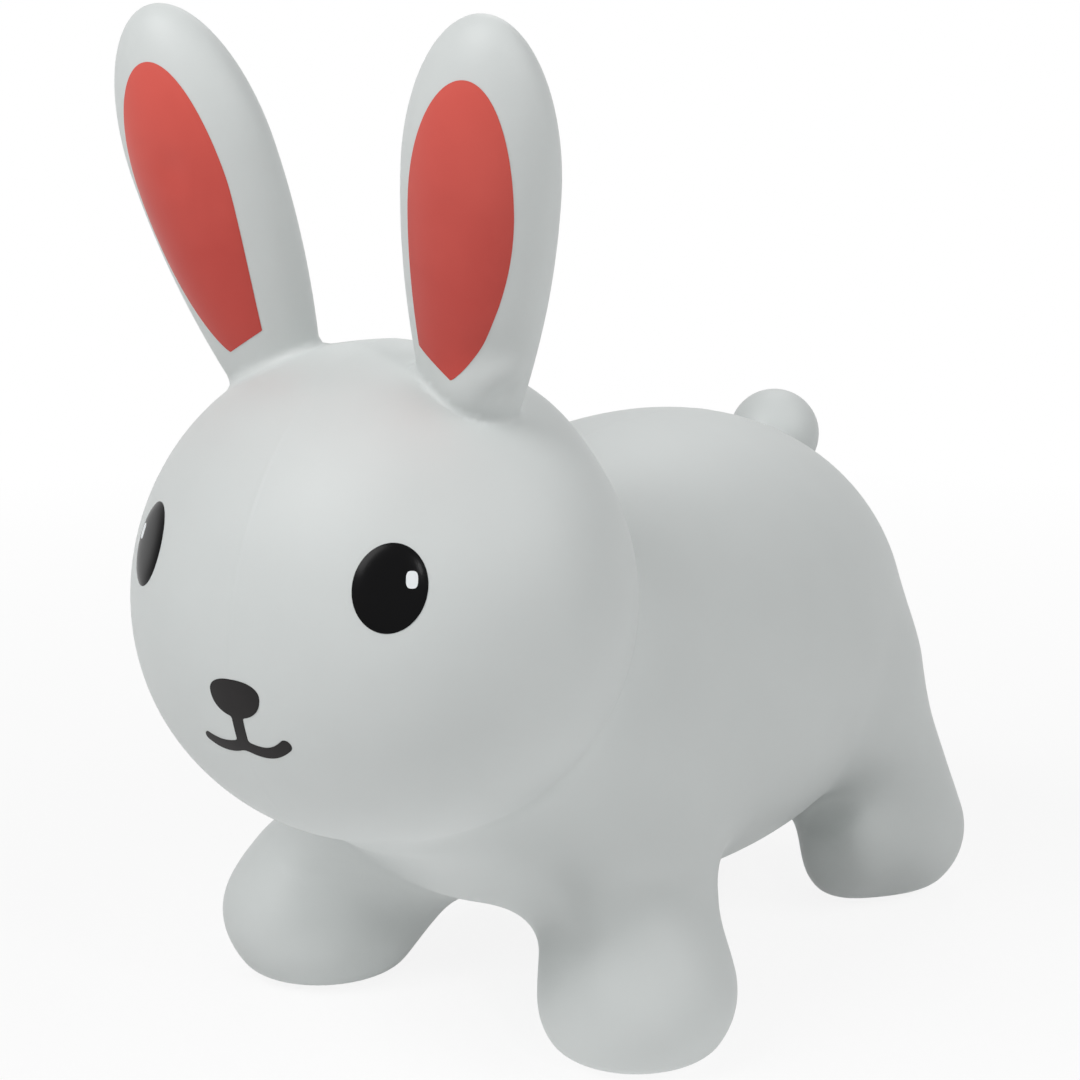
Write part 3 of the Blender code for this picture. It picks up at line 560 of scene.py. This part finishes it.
# Sizes in metres: soft clouds left by the moulding, and grain drawn as coarse as it needs to show
PVC_TONES = ("D3D7D6", "D7DBDA")
PVC_TONE_STOPS = (0.3, 0.7)
PVC_CLOUD = 0.070
PVC_GRAIN = 0.0011
PVC_GRAIN_DEPTH = 0.00006
PVC_GRAIN_STRENGTH = 0.35
PVC_ROUGHNESS = (0.46, 0.56)
PVC_IOR = 1.53
PVC_SPECULAR = 0.40

INK_TONE_STOPS = (0.25, 0.75)
INK_CLOUD = 0.030
# Painted light on the pink leaves: its share in the tone, and the heights over which the ink is painted paler
# upwards
INK_PAINTED_LIGHT_SHARE = 0.75
LEAF_PAINTED_LIGHT = (0.36, 0.48)
INK_GRAIN = 0.0008
INK_GRAIN_DEPTH = 0.00004
INK_GRAIN_STRENGTH = 0.5
INK_IOR = 1.50

VALVE_COLOUR = "C2C5C5"
VALVE_CLOUD = 0.006
VALVE_CLOUD_DEPTH = 0.0002
VALVE_CLOUD_STRENGTH = 0.2
VALVE_ROUGHNESS = (0.32, 0.44)


def moulded_pvc():
    """Soft PVC, rotationally moulded: pale grey, satin, with a fine grain and faint clouds."""
    material, tree, shader = new_material("soft_pvc_moulded_grey")
    place = add_node(tree, "ShaderNodeTexCoord").outputs["Object"]
    noise = add_node(tree, "ShaderNodeTexNoise", {"Vector": place}, Scale=1 / PVC_CLOUD, Detail=2.0)
    clouds = noise.outputs["Fac"]
    tone = add_node(tree, "ShaderNodeValToRGB", {"Fac": clouds})
    for end, stop, colour in zip(tone.color_ramp.elements, PVC_TONE_STOPS, PVC_TONES):
        end.position = stop
        end.color = linear(colour)
    low, high = PVC_ROUGHNESS
    gloss = add_node(tree, "ShaderNodeMapRange", {"Value": clouds}, To_Min=low, To_Max=high)
    grain = add_node(tree, "ShaderNodeTexNoise", {"Vector": place}, Scale=1 / PVC_GRAIN, Detail=3.0)
    bump = add_node(tree, "ShaderNodeBump", {"Height": grain.outputs["Fac"]}, Distance=PVC_GRAIN_DEPTH)
    bump.inputs["Strength"].default_value = PVC_GRAIN_STRENGTH
    tree.links.new(tone.outputs["Color"], shader.inputs["Base Color"])
    tree.links.new(gloss.outputs["Result"], shader.inputs["Roughness"])
    tree.links.new(bump.outputs["Normal"], shader.inputs["Normal"])
    shader.inputs["IOR"].default_value = PVC_IOR
    shader.inputs["Specular IOR Level"].default_value = PVC_SPECULAR
    return material


def printed_ink(name, tones, roughness, specular, painted_light_heights=None):
    """Ink film over the skin's fine grain: a thin and a full tone, mixed by soft clouds.

    With a pair of heights, the tone is also painted paler from the first height up to the second: painted
    light on the tops that face the lamps.
    """
    material, tree, shader = new_material(name)
    place = add_node(tree, "ShaderNodeTexCoord").outputs["Object"]
    noise = add_node(tree, "ShaderNodeTexNoise", {"Vector": place}, Scale=1 / INK_CLOUD, Detail=2.0)
    cover_and_painted_light = noise.outputs["Fac"]
    # Painted light: the tone is painted paler with height, mixed into the clouds
    if painted_light_heights is not None:
        height = add_node(tree, "ShaderNodeSeparateXYZ", {0: place}).outputs["Z"]
        fall = add_node(tree, "ShaderNodeMapRange", {"Value": height}, To_Min=1.0, To_Max=0.0)
        fall.inputs["From Min"].default_value, fall.inputs["From Max"].default_value = painted_light_heights
        mixed = add_node(tree, "ShaderNodeMix", {"A": cover_and_painted_light, "B": fall.outputs[0]}, Factor=INK_PAINTED_LIGHT_SHARE)
        cover_and_painted_light = mixed.outputs["Result"]
    tone = add_node(tree, "ShaderNodeValToRGB", {"Fac": cover_and_painted_light})
    for end, stop, colour in zip(tone.color_ramp.elements, INK_TONE_STOPS, tones):
        end.position = stop
        end.color = linear(colour)
    grain = add_node(tree, "ShaderNodeTexNoise", {"Vector": place}, Scale=1 / INK_GRAIN, Detail=2.0)
    bump = add_node(tree, "ShaderNodeBump", {"Height": grain.outputs["Fac"]}, Distance=INK_GRAIN_DEPTH)
    bump.inputs["Strength"].default_value = INK_GRAIN_STRENGTH
    tree.links.new(tone.outputs["Color"], shader.inputs["Base Color"])
    tree.links.new(bump.outputs["Normal"], shader.inputs["Normal"])
    shader.inputs["Roughness"].default_value = roughness
    shader.inputs["IOR"].default_value = INK_IOR
    shader.inputs["Specular IOR Level"].default_value = specular
    return material


def valve_pvc():
    """Harder PVC of the valve, injection moulded: smooth, slightly milky grey."""
    material, tree, shader = new_material("valve_pvc_moulded")
    place = add_node(tree, "ShaderNodeTexCoord").outputs["Object"]
    noise = add_node(tree, "ShaderNodeTexNoise", {"Vector": place}, Scale=1 / VALVE_CLOUD, Detail=3.0)
    clouds = noise.outputs["Fac"]
    low, high = VALVE_ROUGHNESS
    gloss = add_node(tree, "ShaderNodeMapRange", {"Value": clouds}, To_Min=low, To_Max=high)
    bump = add_node(tree, "ShaderNodeBump", {"Height": clouds}, Distance=VALVE_CLOUD_DEPTH)
    bump.inputs["Strength"].default_value = VALVE_CLOUD_STRENGTH
    tree.links.new(gloss.outputs["Result"], shader.inputs["Roughness"])
    tree.links.new(bump.outputs["Normal"], shader.inputs["Normal"])
    shader.inputs["Base Color"].default_value = linear(VALVE_COLOUR)
    shader.inputs["IOR"].default_value = PVC_IOR
    return material


PVC = moulded_pvc()
BLACK_INK = printed_ink("black_ink_gloss_print", ("040405", "020203"), roughness=0.24, specular=0.10)
CHARCOAL_INK = printed_ink("charcoal_ink_satin_print", ("2B2929", "232122"), roughness=0.36, specular=0.16)
WHITE_INK = printed_ink("white_ink_satin_print", ("EDF2F4", "F3F7F8"), roughness=0.45, specular=0.30)
# The pink is painted paler towards the ears' tops: painted light
PINK_INK = printed_ink(
    "pink_ink_gloss_print", ("DB5E54", "C54A42"), roughness=0.32, specular=0.25, painted_light_heights=LEAF_PAINTED_LIGHT
)
VALVE_PVC = valve_pvc()


# Skin pieces


def valve_opening(points):
    """Field of the round hole that the valve needs in the belly."""
    hole = np.hypot(points[..., 0], points[..., 1] - VALVE_Y) - VALVE_HOLE_RADIUS
    return np.maximum(hole, points[..., 2] - TORSO_CENTRE[2])


def cut_into_pieces(points, quads):
    """Piece name of each quad, and the net with its cut points drawn onto the creases between the forms."""
    names = [*form_fields(points[:1]), "valve_opening"]

    def fields(where):
        forms = np.stack(list(form_fields(where).values()), axis=-1)
        opening = valve_opening(where)
        return np.concatenate((forms, (forms.min(axis=-1) + opening)[..., None]), axis=-1)

    label = np.argmin(fields(points[quads].mean(axis=1)), axis=-1)
    first = np.full(len(points), len(names))
    last = np.full(len(points), -1)
    np.minimum.at(first, quads, label[:, None])
    np.maximum.at(last, quads, label[:, None])
    cut = np.flatnonzero(first != last)
    pick = np.arange(len(cut))

    def difference(where):
        values = fields(where)
        return values[pick, first[cut]] - values[pick, last[cut]]

    for _ in range(CUT_ROUNDS):
        points[cut] = drawn_onto(skin_field, drawn_onto(difference, points[cut], rounds=1), rounds=1)
    held = np.zeros(len(points), dtype=bool)
    held[cut] = True
    return np.array(names)[label], relaxed(points, quads, skin_field, CUT_RELAX_ROUNDS, held)


def build_skin():
    """Skin pieces: quads of one net by piece, thickened inwards by the wall, shaded by the field's slope."""
    low, high = (np.array(corner) for corner in CAD_BOX)
    low, high = low - NET_LOW_MARGIN * NET_STEP, high + NET_HIGH_MARGIN * NET_STEP
    points, quads = surface_net(skin_field, low, high, NET_STEP)
    points = relaxed(drawn_onto(skin_field, points), quads, skin_field, RELAX_ROUNDS)
    label, points = cut_into_pieces(points, quads)
    outward = unit(slope_of(skin_field, points))
    pieces = {}
    for name in np.unique(label[label != "valve_opening"]):
        used, own = only_used(quads[label == name])
        shell, faces = closed_film(points[used], points[used] - WALL * outward[used], own)
        normals = np.concatenate((outward[used], -outward[used]))
        pieces[name] = add_piece(f"{name}_skin_moulded", shell, faces, PVC, normals)
    return pieces


SKIN = build_skin()
for form, piece in SKIN.items():
    if form.endswith("ear"):
        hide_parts(f"{form}_root", f"{form}_skin")
    else:
        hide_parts(f"{form}_skin")
        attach(piece, "body")


# Mould line


def build_mould_line():
    """Low bead where the mould's halves met: a bell across, sinking into the skin at its edges and ends."""
    aside = np.linspace(-1, 1, SEAM_COLUMNS)
    for arc, (centre, start, end) in SEAM_ARCS.items():
        turn = np.arange(start, end, SEAM_STEP_ANGLE)
        rays = np.stack((np.zeros_like(turn), np.cos(turn), np.sin(turn)), axis=1)
        starts = np.broadcast_to(centre, rays.shape)
        spine = starts + rays * reach_along(skin_field, starts, rays, RAY_REACH)[:, None]
        spread = spine[:, None] + aside[:, None] * (SEAM_HALF_WIDTH, 0.0, 0.0)
        on_skin = drawn_onto(skin_field, spread.reshape(-1, 3))
        outward = unit(slope_of(skin_field, on_skin))
        along = np.linspace(-1, 1, len(turn))
        bell = np.outer(1 - along**SEAM_END_FULLNESS, (1 - aside**2) ** 2)
        rise = (SEAM_HEIGHT * bell - SEAM_RIM_DIP).reshape(-1, 1)
        number = np.arange(len(on_skin)).reshape(len(turn), len(aside))
        ring = (number[:-1, :-1], number[:-1, 1:], number[1:, 1:], number[1:, :-1])
        quads = np.stack(ring, axis=-1).reshape(-1, 4)
        bead, faces = closed_film(on_skin + rise * outward, on_skin - SEAM_SUNK * outward, quads)
        piece = add_piece(f"{arc}_mould_line", bead, faces, PVC)
        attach(piece, "body")


build_mould_line()


# Ears: the head's normal at the ear's root; the ear pieces are not bent

HEAD_NORMAL = unit(slope_of(head_field, EAR_ROOT[None]))[0]


def bend_with_ear(piece):
    """Bakes a piece's placement into its mesh; it does not bend it."""
    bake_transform(piece)


for side in SIDES:
    bend_with_ear(SKIN[f"{side}_ear"])


# Prints


def polygon_field(flat, outline):
    """Distance to a closed outline of points, negative inside, found from all its segments at once."""
    run = np.roll(outline, -1, axis=0) - outline
    away = flat[:, None] - outline
    share = np.clip(np.sum(away * run, axis=-1) / np.sum(run**2, axis=-1), 0, 1)
    distance = np.linalg.norm(away - share[..., None] * run, axis=-1).min(axis=1)
    ahead = np.roll(outline, -1, axis=0)
    straddles = (outline[:, 1] > flat[:, None, 1]) != (ahead[:, 1] > flat[:, None, 1])
    height = (flat[:, None, 1] - outline[:, 1]) / np.where(run[:, 1] == 0, TINY, run[:, 1])
    crossings = straddles & (flat[:, None, 0] < outline[:, 0] + height * run[:, 0])
    return np.where(crossings.sum(axis=1) % 2 == 1, -distance, distance)


def stroke_field(flat, line, half_widths):
    """Distance to a pen stroke: the nearest of the discs along its line."""
    return (np.linalg.norm(flat[:, None] - line, axis=-1) - half_widths).min(axis=1)


def oval(half, fullness=2.0, points=96):
    """Outline of an oval; a fullness above two squares it off."""
    turn = np.linspace(0, 2 * math.pi, points, endpoint=False)
    wave = np.stack((np.cos(turn), np.sin(turn)), axis=1)
    return np.sign(wave) * np.abs(wave) ** (2 / fullness) * half


def flat_net(field, low, high, step):
    """Square net over a flat field's inside, with its border points drawn onto the outline."""
    axes = [np.arange(a, b + step, step) for a, b in zip(low, high)]
    flat = np.stack(np.meshgrid(*axes, indexing="ij"), axis=-1)
    number = np.arange(flat.shape[0] * flat.shape[1]).reshape(flat.shape[:2])
    ring = (number[:-1, :-1], number[1:, :-1], number[1:, 1:], number[:-1, 1:])
    quads = np.stack(ring, axis=-1).reshape(-1, 4)
    flat = flat.reshape(-1, 2)
    inside = field(flat[quads].mean(axis=1)) < 0
    border = np.intersect1d(quads[inside], quads[~inside])
    flat[border] = drawn_onto(field, flat[border])
    used, own = only_used(quads[inside])
    return flat[used], own


def level_print(flat):
    """Swell of a print that is even all over."""
    return np.zeros(flat.shape[:-1])


def eye_swell(flat):
    """Swell of an eye's thick ink: nearly level, then falling ever faster towards the oval's rim."""
    return EYE_DOME * (1 - np.sum((flat / EYE_HALF) ** 2, axis=-1) ** (EYE_DOME_FULLNESS / 2))


def lay_print(name, net, place, side, ink, swell=level_print):
    """Film of ink: a flat net carried along a direction onto the skin, proud of it by the film and its swell.

    The place is an origin inside the skin and the directions across, up and out, for the left side.
    """
    flat, quads = net
    origin, across, upward, toward = place
    turn = np.array((side, 1, 1))
    starts = (origin + flat[:, :1] * across + flat[:, 1:] * upward) * turn
    rays = np.broadcast_to(toward * turn, starts.shape)
    on_skin = starts + rays * reach_along(skin_field, starts, rays, PRINT_REACH)[:, None]
    outward = unit(slope_of(skin_field, on_skin))
    proud = INK_PROUD + np.maximum(swell(flat), 0)
    facing = unit(outward - slope_of(swell, flat) @ (np.array((across, upward)) * turn))
    film, faces = closed_film(on_skin + proud[:, None] * outward, on_skin - INK_SUNK * outward, quads)
    if side * np.dot(np.cross(across, upward), toward) < 0:
        faces = faces[:, ::-1]
    return add_piece(name, film, faces, ink, np.concatenate((facing, -outward)))


def eye_place(side):
    """Place of an eye's print on the head, drawn for the left side and tilted outwards."""
    level = math.cos(EYE_RISE_ANGLES[side])
    ray = np.array(
        (
            math.sin(EYE_SIDE_ANGLES[side]) * level,
            -math.cos(EYE_SIDE_ANGLES[side]) * level,
            math.sin(EYE_RISE_ANGLES[side]),
        )
    )
    centre = surface_point(head_field, HEAD_CENTRE, ray)
    normal = unit(slope_of(head_field, centre[None]))[0]
    outward = unit(np.cross((0.0, 0.0, 1.0), normal))
    upward = np.cross(normal, outward)
    across = outward * math.cos(EYE_TILT_ANGLE) - upward * math.sin(EYE_TILT_ANGLE)
    along = outward * math.sin(EYE_TILT_ANGLE) + upward * math.cos(EYE_TILT_ANGLE)
    return centre - normal * PRINT_START_DEPTH, across, along, normal


def build_eyes():
    """Black ovals of thick ink with a small upright white glint let into each."""
    lean, upright = math.sin(EYE_TILT_ANGLE), math.cos(EYE_TILT_ANGLE)
    into_oval = np.array(((upright, lean), (-lean, upright)))
    glint_place = np.array((GLINT_OUT, GLINT_UP)) @ into_oval
    glint_line = oval(GLINT_HALF, GLINT_FULLNESS) @ into_oval + glint_place
    eye_line = oval(EYE_HALF)
    eye_reach = np.array(EYE_HALF) + 2 * INK_STEP

    def glint_field(flat):
        return polygon_field(flat, glint_line)

    def eye_field(flat):
        return np.maximum(polygon_field(flat, eye_line), -glint_field(flat))

    eye = flat_net(eye_field, -eye_reach, eye_reach, INK_STEP)
    glint_reach = np.array(GLINT_HALF) * GLINT_TURNING_ROOM + 2 * INK_STEP
    glint = flat_net(glint_field, glint_place - glint_reach, glint_place + glint_reach, INK_STEP / 2)
    for word, side in SIDES.items():
        place = eye_place(word)
        print_piece = lay_print(f"{word}_eye_ink", eye, place, side, BLACK_INK, eye_swell)
        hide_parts(f"{word}_eye_print")
        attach(print_piece, "body")
        glint_piece = lay_print(f"{word}_glint_ink", glint, place, side, WHITE_INK, eye_swell)
        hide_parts(f"{word}_eye_glint")
        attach(glint_piece, "body")


def build_nose_and_mouth():
    """Nose, stem and mouth in one charcoal print, drawn on the face from straight ahead."""
    nose = oval(NOSE_HALF, NOSE_FULLNESS)
    nose[:, 0] *= 1 + NOSE_TOP_WIDENING * nose[:, 1] / NOSE_HALF[1]
    nose += (0.0, NOSE_HEIGHT)
    out = np.linspace(-MOUTH_RIGHT_END, MOUTH_HALF_WIDTH, MOUTH_POINTS)
    inner = MOUTH_MIDDLE_RISE * (1 - np.abs(out) / MOUTH_DIP_OUT) ** 2
    corner_rise = np.where(out < 0, MOUTH_RIGHT_RISE, MOUTH_LEFT_RISE)
    outer = corner_rise * ((np.abs(out) - MOUTH_DIP_OUT) / (MOUTH_HALF_WIDTH - MOUTH_DIP_OUT)) ** 2
    rise = np.where(np.abs(out) < MOUTH_DIP_OUT, inner, outer)
    mouth = np.stack((out, MOUTH_HEIGHT + rise), axis=1)
    to_end = np.clip(np.abs(out) / MOUTH_HALF_WIDTH, 0, 1) ** STROKE_END_FULLNESS
    end = np.where(out < 0, STROKE_RIGHT_END, STROKE_LEFT_END)
    widths = STROKE_HALF_WIDTH + (end - STROKE_HALF_WIDTH) * to_end
    stem_heights = np.linspace(MOUTH_HEIGHT + MOUTH_MIDDLE_RISE, NOSE_HEIGHT, STEM_POINTS)
    stem = np.stack((np.zeros(STEM_POINTS), stem_heights), axis=1)

    def ink(flat):
        smile = stroke_field(flat, mouth, widths)
        line = stroke_field(flat, stem, STEM_HALF_WIDTH)
        return smooth_union(smooth_union(smile, line, STROKE_MELT), polygon_field(flat, nose), STROKE_MELT)

    low = np.array((-MOUTH_HALF_WIDTH, MOUTH_HEIGHT)) - FACE_LOW_MARGINS
    high = np.array((MOUTH_HALF_WIDTH, NOSE_HEIGHT + NOSE_HALF[1])) + FACE_HIGH_MARGINS
    net = flat_net(ink, low, high, INK_STEP)
    origin = np.array((FACE_SHIFT, HEAD_CENTRE[1] - PRINT_START_DEPTH, 0.0))
    directions = np.array(((1.0, 0.0, 0.0), (0.0, 0.0, 1.0), (0.0, -1.0, 0.0)))
    piece = lay_print("nose_mouth_ink", net, (origin, *directions), 1, CHARCOAL_INK)
    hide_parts("nose_mouth_print")
    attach(piece, "body")


def leaf_outline():
    """Leaf: elliptic above its widest line, tapering to an off-centre tip and an inner corner below."""
    turn = np.linspace(0, math.pi, LEAF_TOP_POINTS)
    rise = LEAF_TOP - LEAF_WIDEST
    top = np.stack((LEAF_HALF_WIDTH * np.cos(turn), LEAF_WIDEST + rise * np.sin(turn)), axis=1)
    share = np.linspace(0, 1, LEAF_SIDE_POINTS)[1:]
    drawn_in = (LEAF_HALF_WIDTH - LEAF_CORNER_HALF_WIDTH) * share**LEAF_INNER_CURVE
    inner_along = LEAF_WIDEST - (LEAF_WIDEST - LEAF_CORNER) * share
    inner = np.stack((drawn_in - LEAF_HALF_WIDTH, inner_along), axis=1)
    fall = np.sin(share[::-1] * math.pi / 2)
    outer_width = LEAF_TIP_OUT + (LEAF_HALF_WIDTH - LEAF_TIP_OUT) * (1 - fall**2) ** LEAF_OUTER_CURVE
    outer = np.stack((outer_width, LEAF_WIDEST - (LEAF_WIDEST - LEAF_TIP) * fall), axis=1)
    return np.concatenate((top, inner, outer))


def build_inner_ears():
    """Pink leaves on the fronts of the ears."""
    outline = leaf_outline()
    low, high = outline.min(axis=0) - 2 * LEAF_STEP, outline.max(axis=0) + 2 * LEAF_STEP
    net = flat_net(lambda flat: polygon_field(flat, outline), low, high, LEAF_STEP)
    for word, side in SIDES.items():
        angle = LEAF_TURN_ANGLES[word]
        upward = EAR_AXIS * math.cos(angle) + EAR_OUTWARD * math.sin(angle)
        across = EAR_OUTWARD * math.cos(angle) - EAR_AXIS * math.sin(angle)
        origin = EAR_ROOT + EAR_OUTWARD * LEAF_SHIFTS[word] + (EAR_AXIS - upward) * LEAF_WIDEST
        place = (origin, across, upward, EAR_FRONT)
        piece = lay_print(f"{word}_inner_ear_ink", net, place, side, PINK_INK)
        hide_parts(f"{word}_inner_ear_print")
        bend_with_ear(piece)


build_eyes()
build_nose_and_mouth()
build_inner_ears()

# Valve: the turned solids keep their shape
for node in ("valve_seat", "valve_plug"):
    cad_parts[node].data.materials.clear()
    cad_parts[node].data.materials.append(VALVE_PVC)


# Studio: a white floor that is plain white when seen from afar, light thrown back in front, and softboxes

PAPER_COLOUR = "F4F4F4"
PAPER_ROUGHNESS = 0.9
FLOOR_HALF = 30.0
FLOOR_DROP = 0.0002
FLOOR_RADII = (0.40, 1.30)
FLOOR_GLOW = 0.88
BOUNCE_SHARE = 0.65
BOUNCE_PLACE = (0.12, -0.28, 0.0)
BOUNCE_RADII = (0.16, 0.28)
AIR_LEVEL = 0.05
LAMPS = {
    "key_softbox": {"azimuth": -17.0, "elevation": 43.0, "size": 1.2, "power": 29.0},
    "gloss_softbox": {"azimuth": 57.0, "elevation": 32.0, "size": 0.2, "power": 5.0},
    "fill_softbox": {"azimuth": 102.0, "elevation": 35.0, "size": 1.2, "power": 14.0},
    "back_softbox": {"azimuth": 200.0, "elevation": 45.0, "size": 1.2, "power": 6.5},
    "top_softbox": {"azimuth": 0.0, "elevation": 88.0, "size": 1.6, "power": 4.0},
}
LAMP_DISTANCE = 2.2
LAMP_TARGET = Vector((0.0, 0.0, 0.22))


def seen_directly(tree):
    """One for camera, glossy and transmission rays, which show the background, and zero for other rays."""
    path = add_node(tree, "ShaderNodeLightPath").outputs
    seen = path["Is Camera Ray"]
    for ray in ("Is Glossy Ray", "Is Transmission Ray"):
        seen = add_node(tree, "ShaderNodeMath", {0: seen, 1: path[ray]}, operation="MAXIMUM").outputs[0]
    return seen


def paper_ramp(tree, place, centre, radii, shares):
    """Share that runs evenly from one value to another between two radii around a centre."""
    away = add_node(tree, "ShaderNodeVectorMath", {0: place}, operation="DISTANCE")
    away.inputs[1].default_value = centre
    ramp = add_node(tree, "ShaderNodeMapRange", {"Value": away.outputs["Value"]})
    for socket, value in zip(("From Min", "From Max", "To Min", "To Max"), (*radii, *shares)):
        ramp.inputs[socket].default_value = value
    return ramp.outputs["Result"]


def studio_paper():
    """White paper: seen, it keeps the shadow near the object and is plain white away from it.

    Other rays find it glowing in front of the rabbit, to throw light back, and plain paper elsewhere.
    """
    material, tree, shader = new_material("studio_white_paper")
    shader.inputs["Base Color"].default_value = linear(PAPER_COLOUR)
    shader.inputs["Roughness"].default_value = PAPER_ROUGHNESS
    place = add_node(tree, "ShaderNodeTexCoord").outputs["Object"]
    glow = paper_ramp(tree, place, (0, 0, 0), FLOOR_RADII, (FLOOR_GLOW, 1.0))
    bounce = paper_ramp(tree, place, BOUNCE_PLACE, BOUNCE_RADII, (BOUNCE_SHARE, 0.0))
    ends = {"Value": seen_directly(tree), "To Min": bounce, "To Max": glow}
    share = add_node(tree, "ShaderNodeMapRange", ends).outputs["Result"]
    white = add_node(tree, "ShaderNodeEmission", Strength=1.0)
    mix = add_node(tree, "ShaderNodeMixShader", {0: share, 1: shader.outputs[0], 2: white.outputs[0]})
    tree.links.new(mix.outputs[0], tree.nodes["Material Output"].inputs["Surface"])
    return material


def build_floor():
    """Wide flat floor under the feet."""
    mesh = bpy.data.meshes.new("studio_floor")
    ends = (-FLOOR_HALF, FLOOR_HALF)
    mesh.from_pydata([(x, y, -FLOOR_DROP) for y in ends for x in ends], [], [(0, 1, 3, 2)])
    mesh.materials.append(studio_paper())
    floor = bpy.data.objects.new("studio_floor", mesh)
    bpy.context.scene.collection.objects.link(floor)


def build_lamps():
    """Square softboxes around the object; azimuth 0 is ahead of the rabbit, and 90 is on its left."""
    for name, lamp in LAMPS.items():
        azimuth, elevation = math.radians(lamp["azimuth"]), math.radians(lamp["elevation"])
        level = math.cos(elevation)
        away = Vector((math.sin(azimuth) * level, -math.cos(azimuth) * level, math.sin(elevation)))
        light = bpy.data.lights.new(name, "AREA")
        light.size = lamp["size"]
        light.energy = lamp["power"]
        softbox = bpy.data.objects.new(name, light)
        softbox.location = LAMP_TARGET + away * LAMP_DISTANCE
        softbox.rotation_mode = "QUATERNION"
        softbox.rotation_quaternion = (-away).to_track_quat("-Z", "Y")
        bpy.context.scene.collection.objects.link(softbox)


def build_air():
    """White world where it is seen, and only a trace of even light."""
    world = bpy.data.worlds.new("studio_air")
    bpy.context.scene.world = world
    world.use_nodes = True
    tree = world.node_tree
    seen = seen_directly(tree)
    level = add_node(tree, "ShaderNodeMapRange", {"Value": seen}, To_Min=AIR_LEVEL, To_Max=1.0)
    background = tree.nodes["Background"]
    background.inputs["Color"].default_value = linear("FFFFFF")
    tree.links.new(level.outputs["Result"], background.inputs["Strength"])


def build_camera():
    """Camera of the photograph: place, direction and lens."""
    data = bpy.data.cameras.new("photo_camera")
    data.lens = CAMERA_LENS
    data.sensor_width = CAMERA_SENSOR
    data.clip_end = CAMERA_CLIP_END
    camera = bpy.data.objects.new("photo_camera", data)
    camera.location = CAMERA_PLACE
    forward = Vector(
        (
            -math.sin(CAMERA_AZIMUTH) * math.cos(CAMERA_ELEVATION),
            math.cos(CAMERA_AZIMUTH) * math.cos(CAMERA_ELEVATION),
            -math.sin(CAMERA_ELEVATION),
        )
    )
    camera.rotation_mode = "QUATERNION"
    camera.rotation_quaternion = forward.to_track_quat("-Z", "Y")
    bpy.context.scene.collection.objects.link(camera)
    bpy.context.scene.camera = camera


build_floor()
build_lamps()
build_air()
build_camera()
bpy.context.scene.view_settings.view_transform = "Standard"
